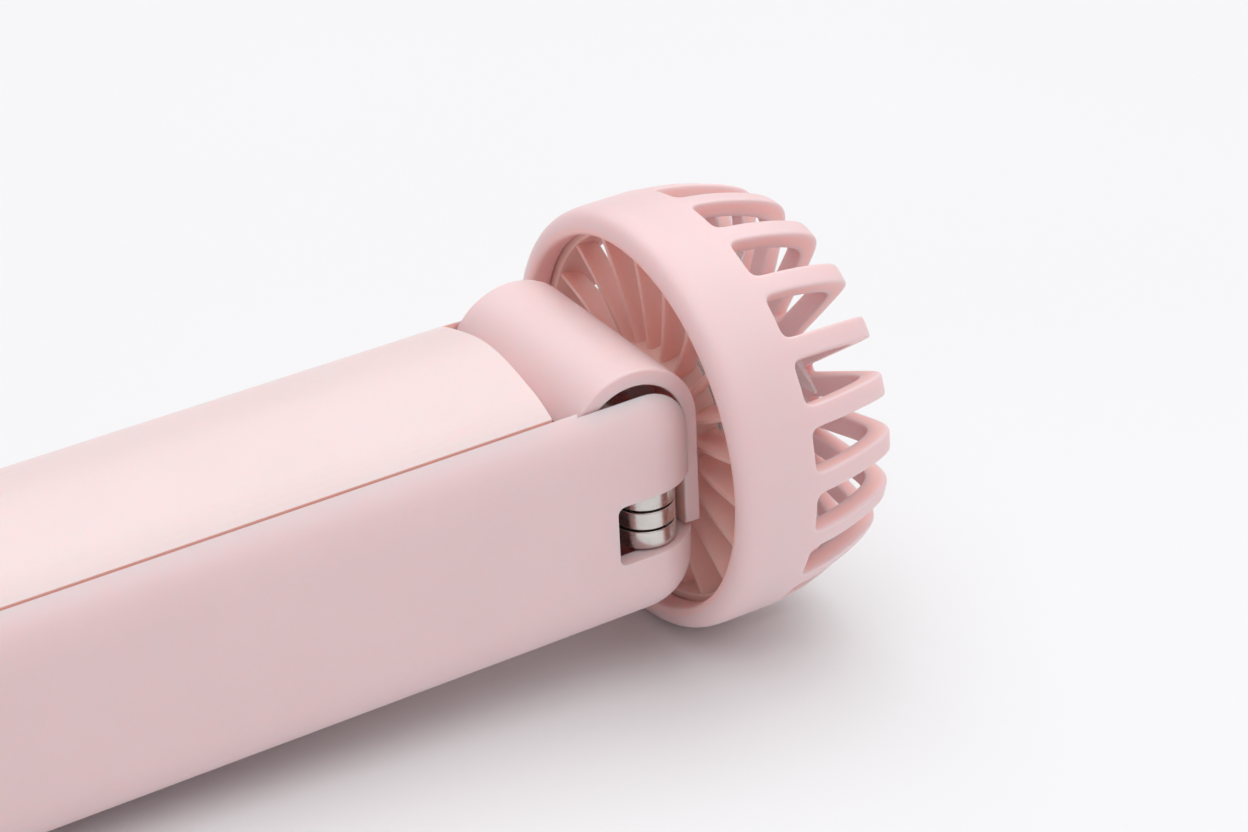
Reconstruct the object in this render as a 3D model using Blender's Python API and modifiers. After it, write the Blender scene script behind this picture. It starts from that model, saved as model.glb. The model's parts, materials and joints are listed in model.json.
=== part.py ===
"""Folding handheld fan: a square-section handle with a cell inside, and a caged fan head that folds up
on a barrel hinge between two ears. Metres, +Z up. The handle runs along X, the head is at +X, and the
origin is at the middle of the bounding box, on its lowest plane. Near means -Y, far means +Y."""

import math

import bmesh
import bpy
from mathutils import Matrix, Vector

MM = 0.001
GAP = 0.3 * MM  # clearance between neighbouring pieces

# Overall
TOTAL_LENGTH = 151.4 * MM
RING_RADIUS = 28.0 * MM
HEAD_REACH = 32.4 * MM  # hinge axis to the front of the cage

# Hinge axis, parallel to Y
HINGE_X = TOTAL_LENGTH / 2 - HEAD_REACH
HINGE_Z = RING_RADIUS + 7.6 * MM
FAN_Z = RING_RADIUS  # height of the fan's own axis, parallel to X

# Handle envelope
HANDLE_HALF_WIDTH = 18.0 * MM
HANDLE_TOP = HINGE_Z + 7.1 * MM
HANDLE_BOTTOM = HINGE_Z - 26.6 * MM
HANDLE_END = HINGE_X + 9.2 * MM
HANDLE_CORNER = 8.0 * MM
HANDLE_CROWN = 2.5 * MM
CROWN_HALF_WIDTH = 14.4 * MM
CROWN_STRIP = 2.5 * MM
HANDLE_PEAK = HANDLE_TOP + HANDLE_CROWN
HANDLE_WALL = 2.35 * MM
TAIL = -TOTAL_LENGTH / 2
TAIL_CAP_LENGTH = 6.0 * MM
SHELL_TAIL = TAIL + TAIL_CAP_LENGTH

# Top cover and the opening between the ears
OPENING_HALF = 14.65 * MM
SLOT_HALF = 15.05 * MM
COVER_HALF = 14.35 * MM
COVER_END = HINGE_X - 11.0 * MM
COVER_THICKNESS = 1.9 * MM
EAR_PAD_BOTTOM = HINGE_Z - 7.2 * MM
EAR_PAD_BACK = HINGE_X - 11.3 * MM
SLOT_FLOOR = HINGE_Z - 15.6 * MM

# Strap window and its steel post, at the near front corner
WINDOW_BACK = HINGE_X - 4.6 * MM
WINDOW_TOP = EAR_PAD_BOTTOM - 0.1 * MM
POST_X = HINGE_X + 1.9 * MM
POST_Y = -13.1 * MM
POST_RADIUS = 1.2 * MM
STRAP_RING_RADIUS = 4.0 * MM
STRAP_RING_HEIGHT = 2.4 * MM

# Hinge barrel
BARREL_RADIUS = 9.2 * MM
BARREL_BORE = 7.05 * MM
BARREL_HALF = 14.75 * MM
BARREL_CORE_HALF = 8.7 * MM
BARREL_WEB_INNER = 6.5 * MM
BARREL_SKIRT_BOTTOM = HINGE_Z - 15.1 * MM
HOOD_END_ANGLE = math.radians(160)
HINGE_PIN_RADIUS = 1.5 * MM
EAR_BOSS_RADIUS = 3.8 * MM
EAR_BOSS_END = 10.2 * MM

# Fan head, along +X from the back plane of the ring
RING_BACK = HINGE_X + 7.5 * MM
SKIRT_FRONT = HINGE_X + BARREL_RADIUS - RING_BACK  # from the ring's back plane
BAND_LENGTH = 10.5 * MM
RIB_COUNT = 20
RIB_WIDTH = 2.9 * MM
SLOT_PHASE = math.radians(7.7)
SLOT_INNER_RADIUS = 12.2 * MM
SLOT_OUTER_RADIUS = 31.0 * MM
CAGE_STEPS = 60
VANE_COUNT = 20
VANE_SWEEP = math.radians(-5)
VANE_THICKNESS = 0.9 * MM
HUB_RADIUS = 9.5 * MM
STATOR_RING_OUTER = 25.4 * MM
STATOR_RING_INNER = 24.0 * MM
BLADE_COUNT = 7
BLADE_SWEEP = math.radians(42)
BLADE_TIP = 23.2 * MM
BLADE_THICKNESS = 0.9 * MM

# Cell
CELL_RADIUS = 9.1 * MM
CELL_LENGTH = 65.0 * MM
CELL_BACK = HINGE_X - 88.0 * MM
CELL_Z = HINGE_Z - 12.8 * MM

# Board
BOARD_BACK = SHELL_TAIL + 0.6 * MM
BOARD_FRONT = BOARD_BACK + 20.0 * MM
BOARD_HALF = 13.0 * MM
BOARD_BOTTOM = HINGE_Z - 19.6 * MM
BOARD_THICKNESS = 1.2 * MM
BOARD_TOP = BOARD_BOTTOM + BOARD_THICKNESS
BOARD_SCREW_X = BOARD_FRONT - 3.5 * MM
BOARD_SCREW_Y = 9.5 * MM

# Power button, in the underside
BUTTON_X = BOARD_BACK + 10.0 * MM
BUTTON_RADIUS = 4.0 * MM
BUTTON_RECESS = 0.3 * MM

# Charging socket
SOCKET_HALF_WIDTH = 4.45 * MM
SOCKET_HEIGHT = 3.2 * MM
SOCKET_LENGTH = 7.3 * MM
SOCKET_BACK = TAIL + 0.4 * MM

TURN_TO_X = (0.0, math.pi / 2, 0.0)
TURN_TO_Y = (-math.pi / 2, 0.0, 0.0)


def clear_scene():
    for obj in list(bpy.data.objects):
        bpy.data.objects.remove(obj)


def new_collection(name):
    collection = bpy.data.collections.new(name)
    bpy.context.scene.collection.children.link(collection)
    return collection


def new_material(name, colour, roughness, metallic=0.0, transmission=0.0):
    material = bpy.data.materials.new(name)
    material.use_nodes = True
    shader = material.node_tree.nodes["Principled BSDF"]
    shader.inputs["Base Color"].default_value = (*colour, 1.0)
    shader.inputs["Roughness"].default_value = roughness
    shader.inputs["Metallic"].default_value = metallic
    shader.inputs["Transmission Weight"].default_value = transmission
    return material


clear_scene()
PARTS = new_collection("folding_handheld_fan")
CUTTERS = new_collection("cutters")

PINK = new_material("pink_plastic", (0.85, 0.60, 0.58), 0.45)
DEEP_PINK = new_material("pink_plastic_inside", (0.72, 0.42, 0.40), 0.5)
CLEAR = new_material("clear_plastic", (0.95, 0.95, 0.95), 0.08, transmission=0.9)
STEEL = new_material("bright_steel", (0.62, 0.60, 0.57), 0.3, metallic=1.0)
BRASS = new_material("brass", (0.75, 0.58, 0.28), 0.35, metallic=1.0)
COPPER = new_material("enamelled_copper", (0.62, 0.28, 0.13), 0.35, metallic=1.0)
MAGNET = new_material("bonded_magnet", (0.09, 0.09, 0.10), 0.6)
BOARD_GREEN = new_material("circuit_board", (0.04, 0.22, 0.11), 0.5)
BLACK = new_material("black_plastic", (0.03, 0.03, 0.035), 0.45)
CELL_WRAP = new_material("cell_wrap", (0.10, 0.22, 0.50), 0.4)
WHITE = new_material("natural_nylon", (0.85, 0.84, 0.80), 0.55)
WIRE_RED = new_material("lead_sleeve", (0.45, 0.05, 0.05), 0.5)


def keep(obj, material, parent=None):
    """Files a finished piece with the parts, and hangs it from its pivot where it moves."""
    PARTS.objects.link(obj)
    obj.data.materials.append(material)
    if parent:
        obj.parent = parent
        obj.matrix_parent_inverse = parent.matrix_world.inverted()
    return obj


def hide(obj):
    """Files a cutter, or a piece that a union takes in."""
    CUTTERS.objects.link(obj)
    obj.hide_render = True
    obj.display_type = "WIRE"
    return obj


def object_from(name, bm, smooth_angle=None):
    bmesh.ops.recalc_face_normals(bm, faces=bm.faces[:])
    mesh = bpy.data.meshes.new(name)
    bm.to_mesh(mesh)
    bm.free()
    if smooth_angle:
        mesh.shade_smooth()
        mesh.set_sharp_from_angle(angle=smooth_angle)
    return bpy.data.objects.new(name, mesh)


def box_mesh(low, high):
    bm = bmesh.new()
    bmesh.ops.create_cube(bm, size=1.0)
    size = Vector(high) - Vector(low)
    middle = (Vector(high) + Vector(low)) / 2
    bmesh.ops.scale(bm, vec=size, verts=bm.verts[:])
    bmesh.ops.translate(bm, vec=middle, verts=bm.verts[:])
    return bm


def box(name, low, high, bevel=0.0, along=None, segments=3):
    """A block, with its edges rounded, or only those that run along one axis."""
    bm = box_mesh(low, high)
    if bevel:
        edges = bm.edges[:]
        if along is not None:
            edges = [edge for edge in edges if runs_along(edge, along)]
        bmesh.ops.bevel(bm, geom=edges, offset=bevel, segments=segments, profile=0.5, affect="EDGES")
    return object_from(name, bm)


def runs_along(edge, axis):
    span = edge.verts[0].co - edge.verts[1].co
    return all(abs(span[i]) < 1e-7 for i in range(3) if i != axis)


def rod(name, start, end, radius, sides=24):
    """A round bar between two points."""
    start = Vector(start)
    end = Vector(end)
    bm = bmesh.new()
    length = (end - start).length
    bmesh.ops.create_cone(
        bm, cap_ends=True, segments=sides, radius1=radius, radius2=radius, depth=length
    )
    turn = Vector((0, 0, 1)).rotation_difference(end - start).to_matrix().to_4x4()
    bmesh.ops.transform(bm, matrix=Matrix.Translation((start + end) / 2) @ turn, verts=bm.verts[:])
    return object_from(name, bm, math.radians(40))


def turned(name, profile, origin, rotation, steps=32, closed=True):
    """A turned piece: the profile is (radius, height), run down the outer side and back up the bore."""
    mesh = bpy.data.meshes.new(name)
    count = len(profile)
    edges = [(i, i + 1) for i in range(count - 1)]
    if closed:
        edges.append((count - 1, 0))
    mesh.from_pydata([(radius, 0.0, height) for radius, height in profile], edges, [])
    obj = bpy.data.objects.new(name, mesh)
    obj.location = origin
    obj.rotation_euler = rotation
    screw = obj.modifiers.new("turn", "SCREW")
    screw.steps = steps
    screw.render_steps = steps
    screw.use_merge_vertices = True
    screw.merge_threshold = 1e-5
    return obj


def ring(name, outer, inner, low, high, origin, rotation, steps=32):
    """A plain washer, sleeve or collar."""
    profile = [(outer, high), (outer, low), (inner, low), (inner, high)]
    return turned(name, profile, origin, rotation, steps)


def apply_boolean(obj, other, operation):
    modifier = obj.modifiers.new(f"{operation.lower()}_{other.name}", "BOOLEAN")
    modifier.operation = operation
    modifier.solver = "EXACT"
    modifier.object = other


def cut(obj, *cutters):
    for cutter in cutters:
        apply_boolean(obj, hide(cutter), "DIFFERENCE")


def join(obj, *others):
    for other in others:
        apply_boolean(obj, hide(other), "UNION")


def pivot(name, location, parent=None):
    empty = bpy.data.objects.new(name, None)
    empty.empty_display_size = 10 * MM
    empty.location = location
    PARTS.objects.link(empty)
    bpy.context.view_layer.update()
    if parent:
        empty.parent = parent
        empty.matrix_parent_inverse = parent.matrix_world.inverted()
        bpy.context.view_layer.update()
    return empty


def tube_along(name, points, radius):
    """A lead: a round tube with filled caps along a smooth curve through a few points."""
    curve = bpy.data.curves.new(name, "CURVE")
    curve.dimensions = "3D"
    curve.bevel_depth = radius
    curve.bevel_resolution = 1
    curve.use_fill_caps = True
    samples = smooth_points([Vector(point) for point in points], 3)
    spline = curve.splines.new("POLY")
    spline.points.add(len(samples) - 1)
    for target, sample in zip(spline.points, samples):
        target.co = (*sample, 1.0)
    return bpy.data.objects.new(name, curve)


def smooth_points(points, per_span):
    """Catmull-Rom points through the given ones."""
    ends = [2 * points[0] - points[1], *points, 2 * points[-1] - points[-2]]
    found = []
    for i in range(1, len(ends) - 2):
        a, b, c, d = ends[i - 1 : i + 3]
        for step in range(per_span):
            t = step / per_span
            found.append(
                0.5 * (2 * b + (c - a) * t + (2 * a - 5 * b + 4 * c - d) * t**2)
                + 0.5 * (3 * b - a - 3 * c + d) * t**3
            )
    return found + [points[-1]]


def crown(bm, top, radius):
    """Raises a flat top whose corners have this radius into the handle's low dome."""
    for strip in range(-3, 4):
        bmesh.ops.bisect_plane(
            bm,
            geom=bm.verts[:] + bm.edges[:] + bm.faces[:],
            plane_co=(0, strip * CROWN_STRIP, 0),
            plane_no=(0, 1, 0),
        )
    for vert in bm.verts:
        rise = (vert.co.z - (top - radius)) / radius
        span = abs(vert.co.y) / CROWN_HALF_WIDTH
        if rise > 0 and span < 1:
            vert.co.z += HANDLE_CROWN * rise * (1 - span**2) ** 2


def handle_body(name, inset, tail, end, segments=5):
    """The handle's rounded envelope with its domed top, or the same shape moved inwards by a wall."""
    radius = HANDLE_CORNER - inset
    half = HANDLE_HALF_WIDTH - inset
    top = HANDLE_TOP - inset
    bm = box_mesh((tail, -half, HANDLE_BOTTOM + inset), (end - inset, half, top))
    front = end - inset
    edges = []
    for edge in bm.edges:
        on_front = all(abs(v.co.x - front) < 1e-7 for v in edge.verts)
        if on_front or runs_along(edge, 0):
            edges.append(edge)
    bmesh.ops.bevel(bm, geom=edges, offset=radius, segments=segments, profile=0.5, affect="EDGES")
    crown(bm, top, radius)
    return object_from(name, bm, math.radians(30))


# ---- Handle -------------------------------------------------------------------------------------


def make_handle_shell():
    far_out = 2 * MM
    shell = handle_body("handle_shell", 0.0, SHELL_TAIL, HANDLE_END)
    cavity = handle_body("shell_cavity", HANDLE_WALL, SHELL_TAIL - far_out, HANDLE_END)
    for side in (-1, 1):
        inner = side * OPENING_HALF
        outer = side * (HANDLE_HALF_WIDTH + far_out)
        pad = box(
            f"ear_pad_{side}",
            (EAR_PAD_BACK, min(inner, outer), EAR_PAD_BOTTOM),
            (HANDLE_END + far_out, max(inner, outer), HANDLE_PEAK + far_out),
        )
        cut(cavity, pad)
    cut(shell, cavity)
    roof = box(
        "shell_roof_opening",
        (SHELL_TAIL - far_out, -OPENING_HALF, HINGE_Z + far_out),
        (HANDLE_END + far_out, OPENING_HALF, HANDLE_PEAK + far_out),
    )
    slot = box(
        "shell_head_slot",
        (HINGE_X, -SLOT_HALF, SLOT_FLOOR),
        (HANDLE_END + far_out, SLOT_HALF, HANDLE_PEAK + far_out),
    )
    throat = box(
        "shell_throat",
        (EAR_PAD_BACK, -OPENING_HALF, SLOT_FLOOR),
        (HINGE_X + MM, OPENING_HALF, HANDLE_PEAK + far_out),
    )
    socket = rod(
        "shell_barrel_socket",
        (HINGE_X, -SLOT_HALF, HINGE_Z),
        (HINGE_X, SLOT_HALF, HINGE_Z),
        BARREL_RADIUS + GAP,
        40,
    )
    window = box(
        "shell_strap_window",
        (WINDOW_BACK, -HANDLE_HALF_WIDTH - far_out, SLOT_FLOOR),
        (HANDLE_END + 2 * far_out, -OPENING_HALF + far_out, WINDOW_TOP),
        bevel=1.0 * MM,
        along=1,
    )
    cut(shell, roof, slot, throat, socket, window)
    for side, label in ((-1, "near"), (1, "far")):
        boss = rod(
            f"ear_boss_{label}",
            (HINGE_X, side * EAR_BOSS_END, HINGE_Z),
            (HINGE_X, side * (OPENING_HALF + far_out), HINGE_Z),
            EAR_BOSS_RADIUS,
        )
        bore = rod(
            f"ear_bore_{label}",
            (HINGE_X, side * (EAR_BOSS_END - far_out), HINGE_Z),
            (HINGE_X, side * (16.6 * MM + GAP), HINGE_Z),
            HINGE_PIN_RADIUS + GAP,
        )
        join(shell, boss)
        cut(shell, bore)
    join(shell, *strap_lugs())
    post_hole = rod(
        "strap_post_hole",
        (POST_X, POST_Y, SLOT_FLOOR - 2.3 * MM),
        (POST_X, POST_Y, EAR_PAD_BOTTOM + 1.5 * MM),
        POST_RADIUS + GAP,
    )
    cut(shell, post_hole)
    for side in (-1, 1):
        place = (BOARD_SCREW_X, side * BOARD_SCREW_Y)
        post = rod(
            f"board_post_{side}",
            (*place, HANDLE_BOTTOM + HANDLE_WALL / 2),
            (*place, BOARD_BOTTOM - GAP),
            2.4 * MM,
            16,
        )
        hole = rod(
            f"board_post_hole_{side}",
            (*place, HANDLE_BOTTOM + HANDLE_WALL),
            (*place, BOARD_TOP),
            1.3 * MM,
            12,
        )
        join(shell, post)
        cut(shell, hole)
    button_hole = rod(
        "shell_button_hole",
        (BUTTON_X, 0, HANDLE_BOTTOM - far_out),
        (BUTTON_X, 0, HANDLE_BOTTOM + HANDLE_WALL + far_out / 2),
        BUTTON_RADIUS + GAP,
        32,
    )
    cut(shell, button_hole)
    keep(shell, PINK)


def strap_lugs():
    """The two lugs of the shell that hold the ends of the strap post."""
    half = 2.6 * MM
    reach = POST_Y + half
    upper = box(
        "strap_lug_upper",
        (POST_X - half, -OPENING_HALF - 1 * MM, EAR_PAD_BOTTOM),
        (POST_X + half, reach, EAR_PAD_BOTTOM + 2.2 * MM),
    )
    lower = box(
        "strap_lug_lower",
        (POST_X - half, -HANDLE_HALF_WIDTH + HANDLE_WALL / 2, SLOT_FLOOR - 3.2 * MM),
        (POST_X + half, reach, SLOT_FLOOR - GAP),
    )
    return upper, lower


def make_top_cover():
    far_out = 2 * MM
    cover = handle_body("top_cover", 0.0, SHELL_TAIL, HANDLE_END)
    strip = box(
        "cover_strip",
        (SHELL_TAIL - far_out, -COVER_HALF, HINGE_Z + 2.3 * MM),
        (COVER_END, COVER_HALF, HANDLE_PEAK + far_out),
    )
    under = handle_body("cover_underside", COVER_THICKNESS, SHELL_TAIL - far_out, HANDLE_END)
    apply_boolean(cover, hide(strip), "INTERSECT")
    cut(cover, under)
    keep(cover, PINK)


def make_tail_cap():
    far_out = 2 * MM
    half = HANDLE_HALF_WIDTH
    bm = box_mesh((TAIL, -half, HANDLE_BOTTOM), (SHELL_TAIL - GAP, half, HANDLE_TOP))
    long_edges = [edge for edge in bm.edges if runs_along(edge, 0)]
    bmesh.ops.bevel(bm, geom=long_edges, offset=HANDLE_CORNER, segments=5, profile=0.5, affect="EDGES")
    rim = [edge for edge in bm.edges if all(abs(v.co.x - TAIL) < 1e-7 for v in edge.verts)]
    bmesh.ops.bevel(bm, geom=rim, offset=2 * MM, segments=3, profile=0.5, affect="EDGES")
    crown(bm, HANDLE_TOP, HANDLE_CORNER)
    cap = object_from("tail_cap", bm, math.radians(30))
    inner = half - HANDLE_WALL
    inner_top = HANDLE_TOP - HANDLE_WALL
    inner_corner = HANDLE_CORNER - HANDLE_WALL
    bm = box_mesh(
        (TAIL + HANDLE_WALL, -inner, HANDLE_BOTTOM + HANDLE_WALL), (SHELL_TAIL + far_out, inner, inner_top)
    )
    long_edges = [edge for edge in bm.edges if runs_along(edge, 0)]
    bmesh.ops.bevel(bm, geom=long_edges, offset=inner_corner, segments=5, profile=0.5, affect="EDGES")
    crown(bm, inner_top, inner_corner)
    hollow = object_from("tail_cap_hollow", bm)
    port = box(
        "tail_cap_port",
        (TAIL - far_out, -SOCKET_HALF_WIDTH - GAP, BOARD_TOP),
        (TAIL + 2 * far_out, SOCKET_HALF_WIDTH + GAP, BOARD_TOP + SOCKET_HEIGHT + 2 * GAP),
        bevel=1.5 * MM,
        along=0,
    )
    cut(cap, hollow, port)
    keep(cap, PINK)


def make_bulkhead():
    inset = HANDLE_WALL + GAP
    back = COVER_END - 0.9 * MM
    wall = box(
        "hinge_bulkhead",
        (back, -COVER_HALF, HANDLE_BOTTOM + inset),
        (back + 1.8 * MM, COVER_HALF, HANDLE_TOP - inset),
        bevel=HANDLE_CORNER - inset,
        along=0,
        segments=5,
    )
    top = box(
        "bulkhead_top_cut",
        (back - MM, -HANDLE_HALF_WIDTH, HINGE_Z + 1.8 * MM),
        (back + 3 * MM, HANDLE_HALF_WIDTH, HANDLE_TOP),
    )
    grommet = rod(
        "bulkhead_lead_hole",
        (back - MM, 0, HINGE_Z - 11.2 * MM),
        (back + 3 * MM, 0, HINGE_Z - 11.2 * MM),
        1.8 * MM,
        16,
    )
    cut(wall, top, grommet)
    keep(wall, DEEP_PINK)


def make_strap_post():
    post = rod(
        "strap_post",
        (POST_X, POST_Y, SLOT_FLOOR - 2.0 * MM),
        (POST_X, POST_Y, EAR_PAD_BOTTOM + 1.2 * MM),
        POST_RADIUS,
        20,
    )
    keep(post, STEEL)
    chamfer = 0.25 * MM
    top = STRAP_RING_HEIGHT
    profile = [
        (STRAP_RING_RADIUS - chamfer, top),
        (STRAP_RING_RADIUS, top - chamfer),
        (STRAP_RING_RADIUS, chamfer),
        (STRAP_RING_RADIUS - chamfer, 0.0),
        (POST_RADIUS + GAP, 0.0),
        (POST_RADIUS + GAP, top),
    ]
    for index, label in enumerate(("lower", "middle", "upper")):
        height = SLOT_FLOOR + GAP + index * (STRAP_RING_HEIGHT + GAP)
        collar = turned(f"strap_ring_{label}", profile, (POST_X, POST_Y, height), (0, 0, 0))
        keep(collar, STEEL)


def make_hinge_hardware(head_pivot):
    axis = (HINGE_X, 0, HINGE_Z)
    for side, label in ((-1, "near"), (1, "far")):
        pin = rod(
            f"hinge_pin_{label}",
            (HINGE_X, side * 5.4 * MM, HINGE_Z),
            (HINGE_X, side * 16.6 * MM, HINGE_Z),
            HINGE_PIN_RADIUS,
            20,
        )
        keep(pin, STEEL)
        low, high = sorted((side * 9.0 * MM, side * 9.9 * MM))
        washer = ring(
            f"friction_washer_{label}", 3.6 * MM, HINGE_PIN_RADIUS + GAP, low, high, axis, TURN_TO_Y, 24
        )
        keep(washer, STEEL)
        low, high = sorted((side * 5.6 * MM, side * 6.2 * MM))
        clip = ring(
            f"hinge_clip_{label}", 3.0 * MM, HINGE_PIN_RADIUS + GAP, low, high, axis, TURN_TO_Y, 20
        )
        keep(clip, STEEL)
        low, high = sorted((side * BARREL_WEB_INNER, side * BARREL_CORE_HALF))
        bush = ring(
            f"hinge_bush_{label}", 2.7 * MM, HINGE_PIN_RADIUS + GAP, low, high, axis, TURN_TO_Y, 24
        )
        keep(bush, WHITE, head_pivot)


def make_cell():
    cell_front = CELL_BACK + CELL_LENGTH
    chamfer = 0.6 * MM
    profile = [
        (0.0, CELL_LENGTH),
        (CELL_RADIUS - chamfer, CELL_LENGTH),
        (CELL_RADIUS, CELL_LENGTH - chamfer),
        (CELL_RADIUS, chamfer),
        (CELL_RADIUS - chamfer, 0.0),
        (0.0, 0.0),
    ]
    cell = turned("battery_cell", profile, (CELL_BACK, 0, CELL_Z), TURN_TO_X, 32, closed=False)
    keep(cell, CELL_WRAP)
    tab_half = 4.0 * MM
    tab_thickness = 0.5 * MM
    for label, back in (("rear", CELL_BACK - GAP - tab_thickness), ("front", cell_front + GAP)):
        tab = box(
            f"battery_tab_{label}",
            (back, -tab_half, CELL_Z - tab_half),
            (back + tab_thickness, tab_half, CELL_Z + tab_half),
        )
        keep(tab, STEEL)
    margin = 3.0 * MM
    tray_half = 10.5 * MM
    tray = box(
        "battery_tray",
        (CELL_BACK - margin, -tray_half, HANDLE_BOTTOM + HANDLE_WALL + GAP),
        (cell_front + margin, tray_half, CELL_Z),
    )
    nest = rod(
        "tray_nest",
        (CELL_BACK - 3 * GAP - tab_thickness / 2, 0, CELL_Z),
        (cell_front + 3 * GAP + tab_thickness / 2, 0, CELL_Z),
        CELL_RADIUS + GAP,
        32,
    )
    cut(tray, nest)
    keep(tray, BLACK)


def make_board():
    board = box(
        "main_board",
        (BOARD_BACK, -BOARD_HALF, BOARD_BOTTOM),
        (BOARD_FRONT, BOARD_HALF, BOARD_TOP),
    )
    for side in (-1, 1):
        place = (BOARD_SCREW_X, side * BOARD_SCREW_Y)
        hole = rod(
            f"board_hole_{side}", (*place, BOARD_BOTTOM - MM), (*place, BOARD_TOP + MM), 1.4 * MM, 16
        )
        cut(board, hole)
        label = "near" if side < 0 else "far"
        top = BOARD_TOP + GAP
        profile = [
            (0.0, 1.2 * MM),
            (1.6 * MM, 1.2 * MM),
            (2.0 * MM, 0.7 * MM),
            (2.0 * MM, 0.0),
            (1.0 * MM, 0.0),
            (1.0 * MM, -4.0 * MM),
            (0.0, -4.0 * MM),
        ]
        screw = turned(f"board_screw_{label}", profile, (*place, top), (0, 0, 0), 16, closed=False)
        keep(screw, STEEL)
    keep(board, BOARD_GREEN)
    chip = box(
        "charge_chip",
        (BOARD_FRONT - 8.0 * MM, 2.0 * MM, BOARD_TOP + GAP),
        (BOARD_FRONT - 3.0 * MM, 6.5 * MM, BOARD_TOP + GAP + 1.0 * MM),
    )
    keep(chip, BLACK)
    coil = box(
        "boost_inductor",
        (BOARD_FRONT - 8.5 * MM, -7.5 * MM, BOARD_TOP + GAP),
        (BOARD_FRONT - 2.5 * MM, -1.5 * MM, BOARD_TOP + GAP + 3.0 * MM),
        bevel=0.8 * MM,
        along=2,
    )
    keep(coil, MAGNET)
    led = box(
        "status_led",
        (BOARD_BACK + 0.6 * MM, 7.5 * MM, BOARD_TOP + GAP),
        (BOARD_BACK + 2.2 * MM, 8.7 * MM, BOARD_TOP + GAP + 0.9 * MM),
    )
    keep(led, CLEAR)
    socket = box(
        "usb_c_socket",
        (SOCKET_BACK, -SOCKET_HALF_WIDTH, BOARD_TOP + GAP),
        (SOCKET_BACK + SOCKET_LENGTH, SOCKET_HALF_WIDTH, BOARD_TOP + GAP + SOCKET_HEIGHT),
        bevel=1.4 * MM,
        along=0,
    )
    mouth = box(
        "socket_mouth",
        (SOCKET_BACK - MM, -SOCKET_HALF_WIDTH + GAP, BOARD_TOP + 2 * GAP),
        (SOCKET_BACK + 6 * MM, SOCKET_HALF_WIDTH - GAP, BOARD_TOP + SOCKET_HEIGHT),
        bevel=1.1 * MM,
        along=0,
    )
    cut(socket, mouth)
    keep(socket, STEEL)
    switch = box(
        "tact_switch",
        (BUTTON_X - 3.0 * MM, -3.0 * MM, BOARD_BOTTOM - 2.3 * MM),
        (BUTTON_X + 3.0 * MM, 3.0 * MM, BOARD_BOTTOM - GAP),
    )
    keep(switch, BLACK)


def make_button():
    seat = HANDLE_BOTTOM + BUTTON_RECESS
    base = pivot("power_button_pivot", (BUTTON_X, 0, seat))
    flange_low = HANDLE_WALL - BUTTON_RECESS + GAP
    chamfer = 0.4 * MM
    profile = [
        (0.0, flange_low + 0.9 * MM),
        (5.2 * MM, flange_low + 0.9 * MM),
        (5.2 * MM, flange_low),
        (BUTTON_RADIUS, flange_low),
        (BUTTON_RADIUS, chamfer),
        (BUTTON_RADIUS - chamfer, 0.0),
        (0.0, 0.0),
    ]
    button = turned("power_button", profile, (BUTTON_X, 0, seat), (0, 0, 0), 32, closed=False)
    keep(button, PINK, base)


# ---- Head ---------------------------------------------------------------------------------------


def hood_outline():
    """Side view of the hinge hood, as (x, z) about the axis: a front skirt and a round top."""
    bottom = BARREL_SKIRT_BOTTOM - HINGE_Z
    steps = 16
    angles = [HOOD_END_ANGLE * i / steps for i in range(steps + 1)]
    outer = [(BARREL_RADIUS * math.cos(a), BARREL_RADIUS * math.sin(a)) for a in angles]
    inner = [(BARREL_BORE * math.cos(a), BARREL_BORE * math.sin(a)) for a in reversed(angles)]
    return [(BARREL_RADIUS, bottom), *outer, *inner, (BARREL_BORE, bottom)]


def extruded_outline(name, outline, half):
    """A flat outline in the XZ plane about the hinge axis, made solid to both sides along Y."""
    curve = bpy.data.curves.new(name, "CURVE")
    curve.dimensions = "2D"
    curve.fill_mode = "BOTH"
    curve.extrude = half
    spline = curve.splines.new("POLY")
    spline.points.add(len(outline) - 1)
    for target, (x, z) in zip(spline.points, outline):
        target.co = (x, z, 0.0, 1.0)
    spline.use_cyclic_u = True
    flat = bpy.data.objects.new(name, curve)
    flat.location = (HINGE_X, 0, HINGE_Z)
    flat.rotation_euler = (math.pi / 2, 0, 0)
    CUTTERS.objects.link(flat)
    bpy.context.view_layer.update()
    graph = bpy.context.evaluated_depsgraph_get()
    mesh = bpy.data.meshes.new_from_object(flat.evaluated_get(graph))
    mesh.transform(flat.matrix_world)
    bpy.data.objects.remove(flat)
    bm = bmesh.new()
    bm.from_mesh(mesh)
    bmesh.ops.remove_doubles(bm, verts=bm.verts[:], dist=1e-6)
    return object_from(name, bm, math.radians(30))


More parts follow.
